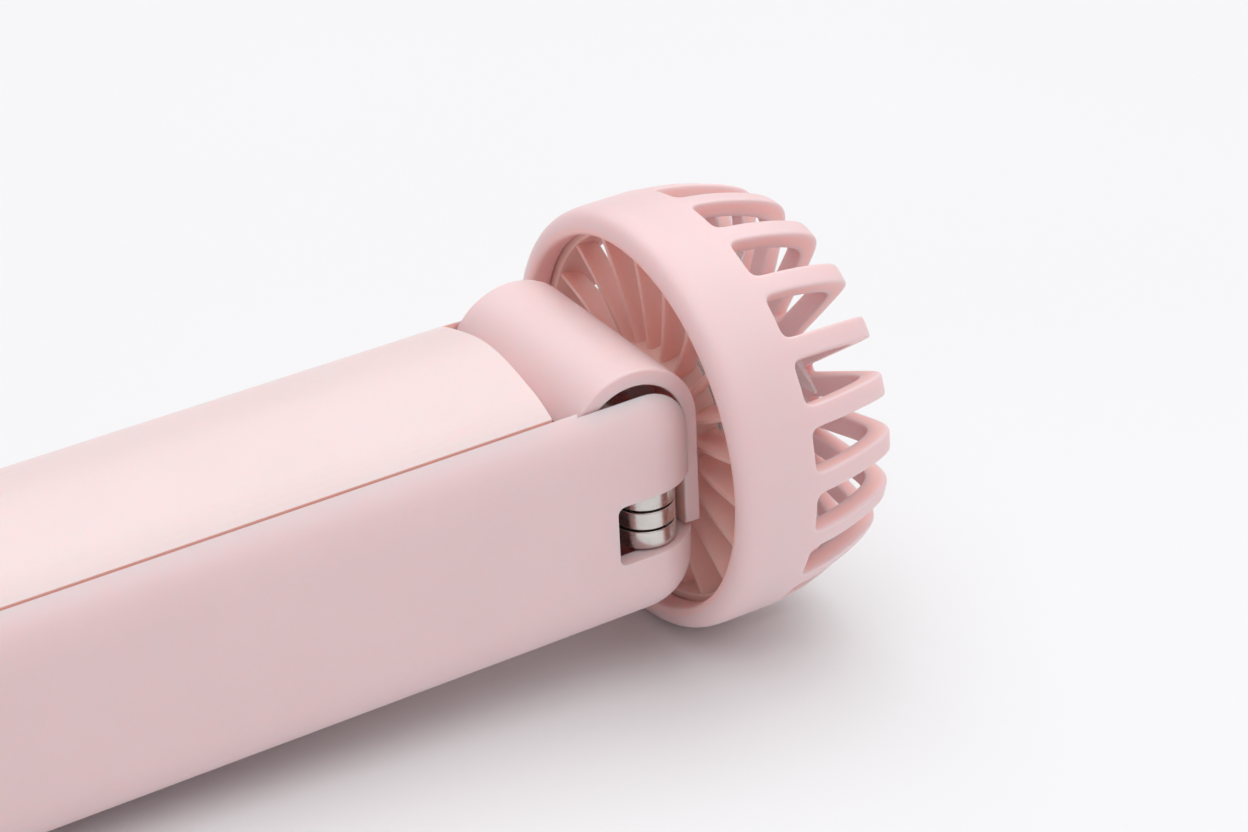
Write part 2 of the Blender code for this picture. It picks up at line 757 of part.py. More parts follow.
def make_hinge_barrel(head_pivot):
    far_out = 2 * MM
    barrel = extruded_outline("hinge_barrel", hood_outline(), BARREL_HALF)
    core = rod(
        "barrel_core",
        (HINGE_X, -BARREL_CORE_HALF, HINGE_Z),
        (HINGE_X, BARREL_CORE_HALF, HINGE_Z),
        BARREL_RADIUS - 0.02 * MM,
        40,
    )
    join(barrel, core)
    chamber = rod(
        "barrel_chamber",
        (HINGE_X, -BARREL_WEB_INNER, HINGE_Z),
        (HINGE_X, BARREL_WEB_INNER, HINGE_Z),
        BARREL_BORE,
        32,
    )
    pins = rod(
        "barrel_bush_bore",
        (HINGE_X, -BARREL_HALF, HINGE_Z),
        (HINGE_X, BARREL_HALF, HINGE_Z),
        2.7 * MM + GAP,
        24,
    )
    lead_window = box(
        "barrel_lead_window",
        (HINGE_X - BARREL_RADIUS - far_out, -3.0 * MM, HINGE_Z - BARREL_RADIUS - far_out),
        (HINGE_X + 2.4 * MM, 3.0 * MM, HINGE_Z + 2.4 * MM),
    )
    lead_outlet = rod(
        "barrel_lead_outlet",
        (HINGE_X, 0, HINGE_Z - 3.5 * MM),
        (HINGE_X + BARREL_RADIUS + far_out, 0, HINGE_Z - 3.5 * MM),
        1.8 * MM,
        16,
    )
    cut(barrel, chamber, pins, lead_window, lead_outlet)
    for side, label in ((-1, "near"), (1, "far")):
        height = FAN_Z - 3.0 * MM
        hole = rod(
            f"neck_hole_{label}",
            (HINGE_X + 6 * MM, side * 4.5 * MM, height),
            (HINGE_X + BARREL_RADIUS + MM, side * 4.5 * MM, height),
            1.3 * MM,
            16,
        )
        cut(barrel, hole)
        head = 1.5 * MM
        profile = [
            (0.0, 4.6 * MM),
            (0.9 * MM, 4.6 * MM),
            (0.9 * MM, 0.0),
            (2.0 * MM, 0.0),
            (2.0 * MM, -0.8 * MM),
            (head, -1.3 * MM),
            (0.0, -1.3 * MM),
        ]
        seat = HINGE_X + BARREL_BORE - GAP
        screw = turned(
            f"neck_screw_{label}", profile, (seat, side * 4.5 * MM, height), TURN_TO_X, 16, closed=False
        )
        keep(screw, STEEL, head_pivot)
    keep(barrel, PINK, head_pivot)


def arc_points(centre, radius, start, end, steps):
    """Points (radius, height) along an arc, angles in degrees."""
    points = []
    for i in range(steps + 1):
        angle = math.radians(start + (end - start) * i / steps)
        points.append((centre[0] + radius * math.cos(angle), centre[1] + radius * math.sin(angle)))
    return points


def cage_profile():
    """The cage's section, as (radius, distance from the back plane): over the dished front from the
    axis, round the shoulder, down the outside of the band, round the rim, and back up the inside."""
    front_corner = (22.6 * MM, 22.6 * MM)
    hub_front = 20.6 * MM
    wall = 2.3 * MM
    outer = [(0.0, hub_front), (6.0 * MM, hub_front)]
    outer += arc_points(front_corner, 2.3 * MM, 105, 15, 5)
    outer += [
        (26.3 * MM, 19.2 * MM),
        (27.3 * MM, 15.2 * MM),
        (RING_RADIUS, BAND_LENGTH),
        (RING_RADIUS, 3.0 * MM),
    ]
    outer += arc_points((26.2 * MM, 1.6 * MM), 1.6 * MM, 0, -90, 3)
    inner = [
        (25.0 * MM, 0.2 * MM),
        (24.7 * MM, 0.7 * MM),
        (24.7 * MM, 3.2 * MM),
        (25.7 * MM, 3.4 * MM),
        (25.7 * MM, BAND_LENGTH),
        (25.0 * MM, 15.0 * MM),
        (24.1 * MM, 18.8 * MM),
        (22.7 * MM, 21.9 * MM),
        (21.6 * MM, 22.4 * MM),
        (6.0 * MM, hub_front - wall),
        (0.0, hub_front - wall),
    ]
    return outer + inner


def slot_cutters():
    """Twenty tapered wedges, each between two ribs of even width, in one mesh."""
    half_pitch = math.pi / RIB_COUNT
    low = RING_BACK + BAND_LENGTH
    high = RING_BACK + 30 * MM
    bm = bmesh.new()
    for index in range(RIB_COUNT):
        middle = SLOT_PHASE + 2 * math.pi * index / RIB_COUNT
        corners = []
        for radius, side in (
            (SLOT_INNER_RADIUS, -1),
            (SLOT_OUTER_RADIUS, -1),
            (SLOT_OUTER_RADIUS, 1),
            (SLOT_INNER_RADIUS, 1),
        ):
            angle = middle + side * half_pitch
            shift = side * RIB_WIDTH / 2
            y = radius * math.cos(angle) + shift * math.sin(angle)
            z = radius * math.sin(angle) - shift * math.cos(angle)
            corners.append((y, z))
        base = [bm.verts.new((low, y, FAN_Z + z)) for y, z in corners]
        face = bm.faces.new(base)
        grown = bmesh.ops.extrude_face_region(bm, geom=[face])
        raised = [item for item in grown["geom"] if isinstance(item, bmesh.types.BMVert)]
        bmesh.ops.translate(bm, vec=(high - low, 0, 0), verts=raised)
    return object_from("cage_slots", bm)


def make_fan_cage(head_pivot):
    cage = turned(
        "fan_cage", cage_profile(), (RING_BACK, 0, FAN_Z), TURN_TO_X, CAGE_STEPS, closed=False
    )
    cap_seat = rod(
        "cage_cap_seat",
        (RING_BACK + 19.4 * MM, 0, FAN_Z),
        (RING_BACK + 24 * MM, 0, FAN_Z),
        5.5 * MM,
        32,
    )
    cut(cage, slot_cutters(), cap_seat)
    keep(cage, PINK, head_pivot)
    cap_back = 19.4 * MM + GAP
    profile = [
        (0.0, cap_back + 1.6 * MM),
        (3.4 * MM, cap_back + 1.4 * MM),
        (4.9 * MM, cap_back + 0.9 * MM),
        (5.2 * MM, cap_back + 0.4 * MM),
        (5.2 * MM, cap_back),
        (0.0, cap_back),
    ]
    cap = turned("cage_hub_cap", profile, (RING_BACK, 0, FAN_Z), TURN_TO_X, 32, closed=False)
    keep(cap, PINK, head_pivot)


def blade_surfaces(name, count, radii, back, front, sweep, lean, thickness, phase=0.0):
    """Swept blades about the fan's axis. Each runs from back to front while turning by its sweep,
    and leans round with the radius. Solidify gives them their thickness."""
    chord_steps = 3
    bm = bmesh.new()
    for index in range(count):
        start = phase + 2 * math.pi * index / count
        rows = []
        for row, radius in enumerate(radii):
            share = row / (len(radii) - 1)
            verts = []
            for step in range(chord_steps + 1):
                along = step / chord_steps
                angle = start + lean * share + sweep * (along**1.4)
                x = RING_BACK + back + (front - back) * along
                y = radius * math.cos(angle)
                z = FAN_Z + radius * math.sin(angle)
                verts.append(bm.verts.new((x, y, z)))
            rows.append(verts)
        for lower, upper in zip(rows, rows[1:]):
            for step in range(chord_steps):
                bm.faces.new((lower[step], lower[step + 1], upper[step + 1], upper[step]))
    blades = object_from(name, bm, math.radians(60))
    solidify = blades.modifiers.new("thickness", "SOLIDIFY")
    solidify.thickness = thickness
    solidify.offset = 0.0
    return blades


def make_rear_stator(head_pivot):
    """The fixed guard behind the fan: a hub that takes the motor, twenty swept vanes and a rim."""
    plate_back = 2.3 * MM
    collar_bore = HUB_RADIUS - 1.0 * MM
    profile = [
        (HUB_RADIUS, 5.0 * MM),
        (HUB_RADIUS, plate_back),
        (7.2 * MM, plate_back),
        (7.2 * MM, SKIRT_FRONT + GAP),
        (2.6 * MM, SKIRT_FRONT + GAP),
        (2.6 * MM, 3.8 * MM),
        (collar_bore, 3.8 * MM),
        (collar_bore, 5.0 * MM),
    ]
    place = (RING_BACK, 0, FAN_Z)
    hub = turned("rear_stator", profile, place, TURN_TO_X, 40)
    outer_rim = ring(
        "stator_rim", STATOR_RING_OUTER, STATOR_RING_INNER, 3.7 * MM, 8.3 * MM, place, TURN_TO_X, 60
    )
    vanes = blade_surfaces(
        "stator_vanes",
        VANE_COUNT,
        (HUB_RADIUS - 0.4 * MM, 16.5 * MM, STATOR_RING_INNER + 0.5 * MM),
        4.0 * MM,
        7.9 * MM,
        VANE_SWEEP,
        math.radians(-8),
        VANE_THICKNESS,
    )
    collar = ring(
        "stator_collar", HUB_RADIUS, collar_bore, 4.5 * MM, 8.2 * MM, place, TURN_TO_X, 40
    )
    join(hub, collar, vanes, outer_rim)
    lead_hole = rod(
        "stator_lead_hole",
        (RING_BACK, 0, HINGE_Z - 3.5 * MM),
        (RING_BACK + 5 * MM, 0, HINGE_Z - 3.5 * MM),
        1.6 * MM,
        16,
    )
    cut(hub, lead_hole)
    for side in (-1, 1):
        hole = rod(
            f"stator_screw_hole_{side}",
            (RING_BACK, side * 4.5 * MM, FAN_Z - 3.0 * MM),
            (RING_BACK + 5 * MM, side * 4.5 * MM, FAN_Z - 3.0 * MM),
            1.2 * MM,
            12,
        )
        cut(hub, hole)
    keep(hub, DEEP_PINK, head_pivot)


def make_motor(head_pivot, fan_pivot):
    place = (RING_BACK, 0, FAN_Z)
    tube_back = SKIRT_FRONT + GAP
    tube = ring("bearing_tube", 2.3 * MM, 1.7 * MM, tube_back, 11.5 * MM, place, TURN_TO_X, 24)
    keep(tube, BRASS, head_pivot)
    for label, back in (("rear", 2.0 * MM), ("front", 9.4 * MM)):
        bearing = ring(
            f"bearing_{label}", 1.4 * MM, 0.95 * MM, back, back + 2.0 * MM, place, TURN_TO_X, 20
        )
        keep(bearing, BRASS, head_pivot)
    board = ring("motor_board", 8.1 * MM, 2.6 * MM, 5.2 * MM, 6.0 * MM, place, TURN_TO_X, 32)
    keep(board, BOARD_GREEN, head_pivot)
    core = ring("stator_core", 3.6 * MM, 2.6 * MM, 7.0 * MM, 10.4 * MM, place, TURN_TO_X, 36)
    teeth = 6
    for index in range(teeth):
        angle = 2 * math.pi * index / teeth
        tooth = box(
            f"core_tooth_{index}",
            (RING_BACK + 7.0 * MM, 3.2 * MM, FAN_Z - 0.6 * MM),
            (RING_BACK + 10.4 * MM, 6.1 * MM, FAN_Z + 0.6 * MM),
        )
        coil = box(
            f"motor_coil_{index + 1}",
            (RING_BACK + 6.4 * MM, 3.95 * MM, FAN_Z - 1.5 * MM),
            (RING_BACK + 11.0 * MM, 5.75 * MM, FAN_Z + 1.5 * MM),
            bevel=0.5 * MM,
            along=1,
            segments=2,
        )
        bore = box(
            f"coil_bore_{index}",
            (RING_BACK + 6.7 * MM, 3.0 * MM, FAN_Z - 0.9 * MM),
            (RING_BACK + 10.7 * MM, 7.0 * MM, FAN_Z + 0.9 * MM),
        )
        centre = Matrix.Translation(place)
        turn = centre @ Matrix.Rotation(angle, 4, "X") @ centre.inverted()
        for piece in (tooth, coil, bore):
            piece.data.transform(turn)
        join(core, tooth)
        cut(coil, bore)
        keep(coil, COPPER, head_pivot)
    keep(core, STEEL, head_pivot)
    shaft = rod(
        "motor_shaft",
        (RING_BACK + 2.2 * MM, 0, FAN_Z),
        (RING_BACK + 13.3 * MM, 0, FAN_Z),
        0.6 * MM,
        16,
    )
    keep(shaft, STEEL, fan_pivot)
    cup_profile = [
        (8.2 * MM, 12.6 * MM),
        (8.2 * MM, 6.6 * MM),
        (7.7 * MM, 6.6 * MM),
        (7.7 * MM, 12.0 * MM),
        (1.0 * MM, 12.0 * MM),
        (1.0 * MM, 12.6 * MM),
    ]
    cup = turned("rotor_cup", cup_profile, place, TURN_TO_X, 40)
    keep(cup, STEEL, fan_pivot)
    magnets = ring("magnet_ring", 7.4 * MM, 6.5 * MM, 6.8 * MM, 11.0 * MM, place, TURN_TO_X, 40)
    keep(magnets, MAGNET, fan_pivot)


def make_impeller(fan_pivot):
    place = (RING_BACK, 0, FAN_Z)
    hub_profile = [
        (0.0, 15.4 * MM),
        (3.0 * MM, 15.2 * MM),
        (6.2 * MM, 14.3 * MM),
        (8.6 * MM, 13.0 * MM),
        (9.6 * MM, 11.4 * MM),
        (9.6 * MM, 8.6 * MM),
        (8.6 * MM, 8.6 * MM),
        (8.6 * MM, 12.9 * MM),
        (0.9 * MM, 12.9 * MM),
        (0.9 * MM, 13.8 * MM),
        (0.0, 13.8 * MM),
    ]
    hub = turned("impeller", hub_profile, place, TURN_TO_X, 40, closed=False)
    blades = blade_surfaces(
        "impeller_blades",
        BLADE_COUNT,
        (HUB_RADIUS - 0.4 * MM, 16.5 * MM, BLADE_TIP),
        8.9 * MM,
        15.0 * MM,
        BLADE_SWEEP,
        math.radians(12),
        BLADE_THICKNESS,
    )
    join(hub, blades)
    keep(hub, CLEAR, fan_pivot)


def make_leads(head_pivot):
    """The motor lead, in two lengths that meet inside the hollow barrel."""
    radius = 0.8 * MM
    handle_lead = tube_along(
        "motor_lead_handle",
        [
            (BOARD_FRONT - 8.0 * MM, 0, BOARD_TOP + 2.2 * MM),
            (BOARD_FRONT - 5.0 * MM, 0, HINGE_Z - 9.0 * MM),
            (CELL_BACK, 0, HINGE_Z - 1.8 * MM),
            (CELL_BACK + CELL_LENGTH / 2, 0, HINGE_Z - 1.4 * MM),
            (CELL_BACK + CELL_LENGTH, 0, HINGE_Z - 1.4 * MM),
            (HINGE_X - 18.2 * MM, 0, HINGE_Z - 3.2 * MM),
            (HINGE_X - 15.5 * MM, 0, HINGE_Z - 8.5 * MM),
            (HINGE_X - 11.5 * MM, 0, HINGE_Z - 11.2 * MM),
            (HINGE_X - 5.0 * MM, 0, HINGE_Z - 11.6 * MM),
            (HINGE_X - 0.9 * MM, 0, HINGE_Z - 9.4 * MM),
            (HINGE_X, 0, HINGE_Z - 5.5 * MM),
            (HINGE_X, 0, HINGE_Z - 1.4 * MM),
        ],
        radius,
    )
    keep(handle_lead, WIRE_RED)
    head_lead = tube_along(
        "motor_lead_head",
        [
            (HINGE_X + 1.0 * MM, 0, HINGE_Z + 0.1 * MM),
            (HINGE_X + 3.4 * MM, 0, HINGE_Z - 1.4 * MM),
            (HINGE_X + 6.0 * MM, 0, HINGE_Z - 3.3 * MM),
            (RING_BACK + 4.4 * MM, 0, HINGE_Z - 3.5 * MM),
        ],
        radius,
    )
    keep(head_lead, WIRE_RED, head_pivot)


def main():
    head_pivot = pivot("head_pivot", (HINGE_X, 0, HINGE_Z))
    fan_pivot = pivot("impeller_pivot", (RING_BACK, 0, FAN_Z), head_pivot)
    make_handle_shell()
    make_top_cover()
    make_tail_cap()
    make_bulkhead()
    make_strap_post()
    make_hinge_hardware(head_pivot)
    make_cell()
    make_board()
    make_button()
    make_hinge_barrel(head_pivot)
    make_fan_cage(head_pivot)
    make_rear_stator(head_pivot)
    make_motor(head_pivot, fan_pivot)
    make_impeller(fan_pivot)
    make_leads(head_pivot)


main()
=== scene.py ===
"""Visual model of a folding handheld fan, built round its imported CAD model. Metres, +Z up, the handle
along X and the fan head at +X. Near means -Y, far means +Y."""

import json
import math

import bmesh
import bpy
from mathutils import Matrix, Vector


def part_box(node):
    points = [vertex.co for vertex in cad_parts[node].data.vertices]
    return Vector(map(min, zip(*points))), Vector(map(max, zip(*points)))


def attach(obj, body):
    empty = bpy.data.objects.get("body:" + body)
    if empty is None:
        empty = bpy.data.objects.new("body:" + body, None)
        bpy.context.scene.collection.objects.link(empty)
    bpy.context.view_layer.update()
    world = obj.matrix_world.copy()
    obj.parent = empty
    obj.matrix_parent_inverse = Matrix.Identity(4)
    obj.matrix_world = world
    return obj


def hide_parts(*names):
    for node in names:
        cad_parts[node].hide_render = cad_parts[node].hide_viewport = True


MM = 0.001

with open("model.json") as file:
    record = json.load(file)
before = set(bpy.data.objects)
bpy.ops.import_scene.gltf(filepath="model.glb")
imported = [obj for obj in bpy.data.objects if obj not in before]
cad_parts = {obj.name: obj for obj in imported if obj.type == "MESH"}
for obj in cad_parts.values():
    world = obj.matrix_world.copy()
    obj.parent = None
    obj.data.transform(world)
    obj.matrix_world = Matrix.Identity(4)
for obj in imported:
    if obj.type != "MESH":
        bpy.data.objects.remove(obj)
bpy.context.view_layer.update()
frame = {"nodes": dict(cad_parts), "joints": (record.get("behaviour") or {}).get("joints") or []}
JOINTS = {joint["name"]: joint for joint in frame["joints"]}
HINGE = Vector(JOINTS["head_tilt"]["pos_m"])
FAN = Vector(JOINTS["impeller_spin"]["pos_m"])  # where the fan's axis meets the ring's back plane
SHELL_LOW, SHELL_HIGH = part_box("handle_shell")
COVER_LOW, COVER_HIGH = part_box("top_cover")
CAP_LOW, CAP_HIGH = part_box("tail_cap")
BARREL_LOW, BARREL_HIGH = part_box("hinge_barrel")

FAR_OUT = 3 * MM  # how far a cutter reaches past the piece it cuts
GAP = 0.3 * MM  # clearance between neighbouring pieces
TINY = 1e-7  # metres: nearer than this is the same place
SHARP = 40.0  # degrees: edges sharper than this are rounded

# Handle
CORNER = 8.0 * MM
CROWN = 2.5 * MM
CROWN_HALF_WIDTH = 14.4 * MM
CROWN_STRIP = 0.9 * MM
WALL = 2.35 * MM
HALF_WIDTH = SHELL_HIGH.y
HANDLE_BOTTOM = SHELL_LOW.z
HANDLE_TOP = COVER_HIGH.z - CROWN
HANDLE_END = SHELL_HIGH.x
SHELL_TAIL = SHELL_LOW.x
OPENING_HALF = 14.65 * MM
SLOT_HALF = 15.05 * MM
EAR_PAD_BACK = HINGE.x - 11.3 * MM
SLOT_FLOOR = HINGE.z - 15.6 * MM
EAR_PAD_BOTTOM = HINGE.z - 7.2 * MM
WINDOW_BACK = HINGE.x - 4.6 * MM
WINDOW_TOP = EAR_PAD_BOTTOM - 0.1 * MM
COVER_THICKNESS = 1.9 * MM
BUTTON_LOW, BUTTON_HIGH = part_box("power_button")
BUTTON_X = (BUTTON_LOW.x + BUTTON_HIGH.x) / 2
BUTTON_RADIUS = 4.0 * MM
BUTTON_FLANGE_RADIUS = 5.2 * MM
HANDLE_LEAD_Z = HINGE.z - 11.2 * MM
SOCKET_WALL = 0.3 * MM
TAIL_EDGE = 2 * MM

# Head
RING_RADIUS = 28.0 * MM
BAND_LENGTH = 10.5 * MM
RIB_COUNT = 20
RIB_HALF = 1.45 * MM
SLOT_PHASE = math.radians(7.7)
HUB_RADIUS = 9.5 * MM
VANE_COUNT = 20
VANE_SWEEP = math.radians(-5)
BLADE_COUNT = 7
BLADE_SWEEP = math.radians(42)
BLADE_THICKNESS = 0.9 * MM
BAND_INSIDE = 25.62 * MM
HEAD_LEAD_Z = HINGE.z - 3.5 * MM
LEAD_HOLE_RADIUS = 1.8 * MM
NECK_SCREW_Y = 4.5 * MM
NECK_SCREW_Z = FAN.z - 3 * MM

# Barrel. The hood's top is a little flatter than a circle: its heights are over the axis.
BARREL_RADIUS = BARREL_HIGH.z - HINGE.z
BARREL_WALL = 2.15 * MM
BARREL_BORE = BARREL_RADIUS - BARREL_WALL
BARREL_RISE = 8.8 * MM
BARREL_BORE_RISE = 6.6 * MM
BARREL_CORE_HALF = 8.7 * MM
BARREL_CHAMBER_HALF = 6.5 * MM
PIN_BORE_RADIUS = 3.0 * MM

TURN_TO_X = Matrix.Rotation(math.pi / 2, 4, "Y")


# ---- Mesh helpers -------------------------------------------------------------------------------


def finished(name, bm, material, body, *nodes):
    """Makes the piece from its mesh, smooth shaded, riding on its body in place of CAD nodes."""
    bmesh.ops.recalc_face_normals(bm, faces=bm.faces[:])
    mesh = bpy.data.meshes.new(name)
    bm.to_mesh(mesh)
    bm.free()
    mesh.shade_smooth()
    obj = bpy.data.objects.new(name, mesh)
    bpy.context.scene.collection.objects.link(obj)
    obj.data.materials.append(material)
    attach(obj, body)
    if nodes:
        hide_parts(*nodes)
    return obj


def box_mesh(low, high, bevel=0.0, along=None, segments=8):
    bm = bmesh.new()
    bmesh.ops.create_cube(bm, size=1.0)
    size = Vector(high) - Vector(low)
    bmesh.ops.scale(bm, vec=size, verts=bm.verts[:])
    bmesh.ops.translate(bm, vec=(Vector(high) + Vector(low)) / 2, verts=bm.verts[:])
    if bevel:
        edges = [e for e in bm.edges if along is None or runs_along(e, along)]
        bmesh.ops.bevel(bm, geom=edges, offset=bevel, segments=segments, profile=0.5, affect="EDGES")
    return bm


def runs_along(edge, axis):
    span = edge.verts[0].co - edge.verts[1].co
    return all(abs(span[i]) < TINY for i in range(3) if i != axis)


def rod_mesh(start, end, radius, sides=48):
    start, end = Vector(start), Vector(end)
    bm = bmesh.new()
    bmesh.ops.create_cone(
        bm, cap_ends=True, segments=sides, radius1=radius, radius2=radius, depth=(end - start).length
    )
    turn = Vector((0, 0, 1)).rotation_difference(end - start).to_matrix().to_4x4()
    bmesh.ops.transform(bm, matrix=Matrix.Translation((start + end) / 2) @ turn, verts=bm.verts[:])
    return bm


def hinge_rod(half, radius, sides):
    """A rod on the hinge's axis, reaching the same distance each way."""
    return rod_mesh((HINGE.x, -half, HINGE.z), (HINGE.x, half, HINGE.z), radius, sides)


def turned_mesh(profile, matrix, steps=96, closed=True):
    """A solid of revolution from (radius, height) points. An open profile starts and ends on the axis."""
    bm = bmesh.new()
    rings = []
    for radius, height in profile:
        if radius < TINY:
            rings.append([bm.verts.new((0, 0, height))])
            continue
        ring = []
        for step in range(steps):
            angle = 2 * math.pi * step / steps
            ring.append(bm.verts.new((radius * math.cos(angle), radius * math.sin(angle), height)))
        rings.append(ring)
    pairs = list(zip(rings, rings[1:]))
    if closed:
        pairs.append((rings[-1], rings[0]))
    for low, high in pairs:
        for step in range(steps):
            after = (step + 1) % steps
            corners = [low[step % len(low)], low[after % len(low)]]
            corners += [high[after % len(high)], high[step % len(high)]]
            unique = list(dict.fromkeys(corners))
            if len(unique) > 2:
                bm.faces.new(unique)
    bmesh.ops.transform(bm, matrix=matrix, verts=bm.verts[:])
    bmesh.ops.recalc_face_normals(bm, faces=bm.faces[:])
    return bm


def rounded_profile(points, radius, steps=3, keep_ends=True):
    """The same outline with each corner turned into a small arc."""
    found = []
    count = len(points)
    for i, point in enumerate(points):
        if keep_ends and i in (0, count - 1):
            found.append(point)
            continue
        here = Vector(point)
        before = Vector(points[i - 1]) - here
        after = Vector(points[(i + 1) % count]) - here
        reach = min(radius, before.length * 0.45, after.length * 0.45)
        first = here + before.normalized() * reach
        last = here + after.normalized() * reach
        for step in range(steps + 1):
            t = step / steps
            found.append(tuple(first * (1 - t) ** 2 + here * 2 * t * (1 - t) + last * t**2))
    return found


def temporary(bm):
    mesh = bpy.data.meshes.new("temporary")
    bmesh.ops.recalc_face_normals(bm, faces=bm.faces[:])
    bm.to_mesh(mesh)
    bm.free()
    obj = bpy.data.objects.new("temporary", mesh)
    bpy.context.scene.collection.objects.link(obj)
    return obj


def boolean(bm, *steps):
    """Runs (operation, mesh) steps on a mesh, and returns the new one."""
    base = temporary(bm)
    used = [base]
    for operation, other in steps:
        tool = temporary(other)
        used.append(tool)
        modifier = base.modifiers.new("boolean", "BOOLEAN")
        modifier.operation = operation
        modifier.solver = "EXACT"
        modifier.object = tool
    bpy.context.view_layer.update()
    graph = bpy.context.evaluated_depsgraph_get()
    result = bmesh.new()
    result.from_mesh(base.evaluated_get(graph).to_mesh())
    for obj in used:
        mesh = obj.data
        bpy.data.objects.remove(obj)
        bpy.data.meshes.remove(mesh)
    bmesh.ops.remove_doubles(result, verts=result.verts[:], dist=0.01 * MM)
    return result


def cut(bm, *tools):
    """Takes the tools away from a mesh, in turn."""
    return boolean(bm, *(("DIFFERENCE", tool) for tool in tools))


def soften(bm, width, segments=3):
    """Rounds the sharp edges."""
    limit = math.radians(SHARP)
    edges = [e for e in bm.edges if len(e.link_faces) == 2 and e.calc_face_angle(0) > limit]
    bmesh.ops.bevel(
        bm,
        geom=edges,
        offset=width,
        segments=segments,
        profile=0.5,
        affect="EDGES",
        clamp_overlap=True,
        loop_slide=True,
    )


def weighted(obj):
    """Keeps broad faces flat in the shading and lets the small rounded edges turn the light."""
    modifier = obj.modifiers.new("normals", "WEIGHTED_NORMAL")
    modifier.keep_sharp = True
    modifier.weight = 100
    return obj


def subdivided(obj, levels):
    modifier = obj.modifiers.new("smooth", "SUBSURF")
    modifier.levels = levels
    modifier.render_levels = levels
    return obj


def handle_solid(inset, tail, end, segments=14):
    """The handle's rounded envelope with its domed top, or the same shape moved inwards by a wall."""
    radius = CORNER - inset
    half = HALF_WIDTH - inset
    top = HANDLE_TOP - inset
    front = end - inset
    bm = box_mesh((tail, -half, HANDLE_BOTTOM + inset), (front, half, top))
    edges = []
    for edge in bm.edges:
        on_front = all(abs(v.co.x - front) < TINY for v in edge.verts)
        if on_front or runs_along(edge, 0):
            edges.append(edge)
    bmesh.ops.bevel(bm, geom=edges, offset=radius, segments=segments, profile=0.5, affect="EDGES")
    return crowned(bm, top, radius)


def crowned(bm, top, radius):
    """Raises a flat top whose corners have this radius into the handle's low dome."""
    strips = int(CROWN_HALF_WIDTH / CROWN_STRIP)
    for strip in range(-strips, strips + 1):
        bmesh.ops.bisect_plane(
            bm,
            geom=bm.verts[:] + bm.edges[:] + bm.faces[:],
            plane_co=(0, strip * CROWN_STRIP, 0),
            plane_no=(0, 1, 0),
        )
    for vert in bm.verts:
        rise = (vert.co.z - (top - radius)) / radius
        span = abs(vert.co.y) / CROWN_HALF_WIDTH
        if rise > 0 and span < 1:
            vert.co.z += CROWN * rise * (1 - span**2) ** 2
    return bm


# ---- Materials ----------------------------------------------------------------------------------


class Nodes:
    """A short way to write a material's node tree."""

    def __init__(self, name):
        self.material = bpy.data.materials.new(name)
        self.material.use_nodes = True
        self.tree = self.material.node_tree
        self.shader = self.tree.nodes["Principled BSDF"]
        self.coordinates = self.tree.nodes.new("ShaderNodeTexCoord").outputs["Object"]

    def add(self, kind, **settings):
        node = self.tree.nodes.new(kind)
        for key, value in settings.items():
            setattr(node, key, value)
        return node

    def link(self, output, socket):
        self.tree.links.new(output, socket)

    def stretched(self, scale):
        mapping = self.add("ShaderNodeMapping")
        mapping.inputs["Scale"].default_value = scale
        self.link(self.coordinates, mapping.inputs["Vector"])
        return mapping.outputs["Vector"]

    def noise(self, scale, detail=2.0, vector=None):
        node = self.add("ShaderNodeTexNoise")
        node.inputs["Scale"].default_value = scale
        node.inputs["Detail"].default_value = detail
        self.link(vector or self.coordinates, node.inputs["Vector"])
        return node.outputs["Fac"]

    def ramp(self, value, low, high, start=0.35, end=0.65):
        node = self.add("ShaderNodeMapRange")
        node.inputs["From Min"].default_value = start
        node.inputs["From Max"].default_value = end
        node.inputs["To Min"].default_value = low
        node.inputs["To Max"].default_value = high
        self.link(value, node.inputs["Value"])
        return node.outputs["Result"]

    def mix(self, factor, first, second):
        node = self.add("ShaderNodeMix", data_type="RGBA")
        self.link(factor, node.inputs["Factor"])
        for value, socket in ((first, node.inputs[6]), (second, node.inputs[7])):
            if hasattr(value, "links"):
                self.link(value, socket)
            else:
                socket.default_value = (*value, 1.0)
        return node.outputs[2]

    def bump(self, height, distance, strength=1.0, normal=None):
        node = self.add("ShaderNodeBump")
        node.inputs["Distance"].default_value = distance
        node.inputs["Strength"].default_value = strength
        self.link(height, node.inputs["Height"])
        if normal:
            self.link(normal, node.inputs["Normal"])
        return node.outputs["Normal"]

    def feed(self, **sockets):
        """Links or sets inputs of the shader, with _ for a space."""
        for key, value in sockets.items():
            socket = self.shader.inputs[key.replace("_", " ")]
            if hasattr(value, "links"):
                self.link(value, socket)
            else:
                socket.default_value = value
        return self.material


def shaded(colour, factor):
    return tuple(min(1.0, channel * factor) for channel in colour)


def moulded(name, colour, roughness, grain=0.006 * MM, **constants):
    """Moulded plastic: a faint cloudiness in the colour, and a fine spark-eroded grain."""
    nodes = Nodes(name)
    cloud = nodes.ramp(nodes.noise(60.0, 3.0), 0.0, 1.0)
    tone = nodes.mix(cloud, shaded(colour, 0.992), shaded(colour, 1.008))
    fine = nodes.noise(5200.0, 2.0)
    broad = nodes.noise(240.0, 2.0)
    normal = nodes.bump(fine, grain, 0.6)
    normal = nodes.bump(broad, 0.006 * MM, 0.2, normal)
    rough = nodes.ramp(nodes.noise(900.0, 3.0), roughness - 0.04, roughness + 0.04)
    return nodes.feed(Base_Color=tone, Roughness=rough, Normal=normal, **constants)


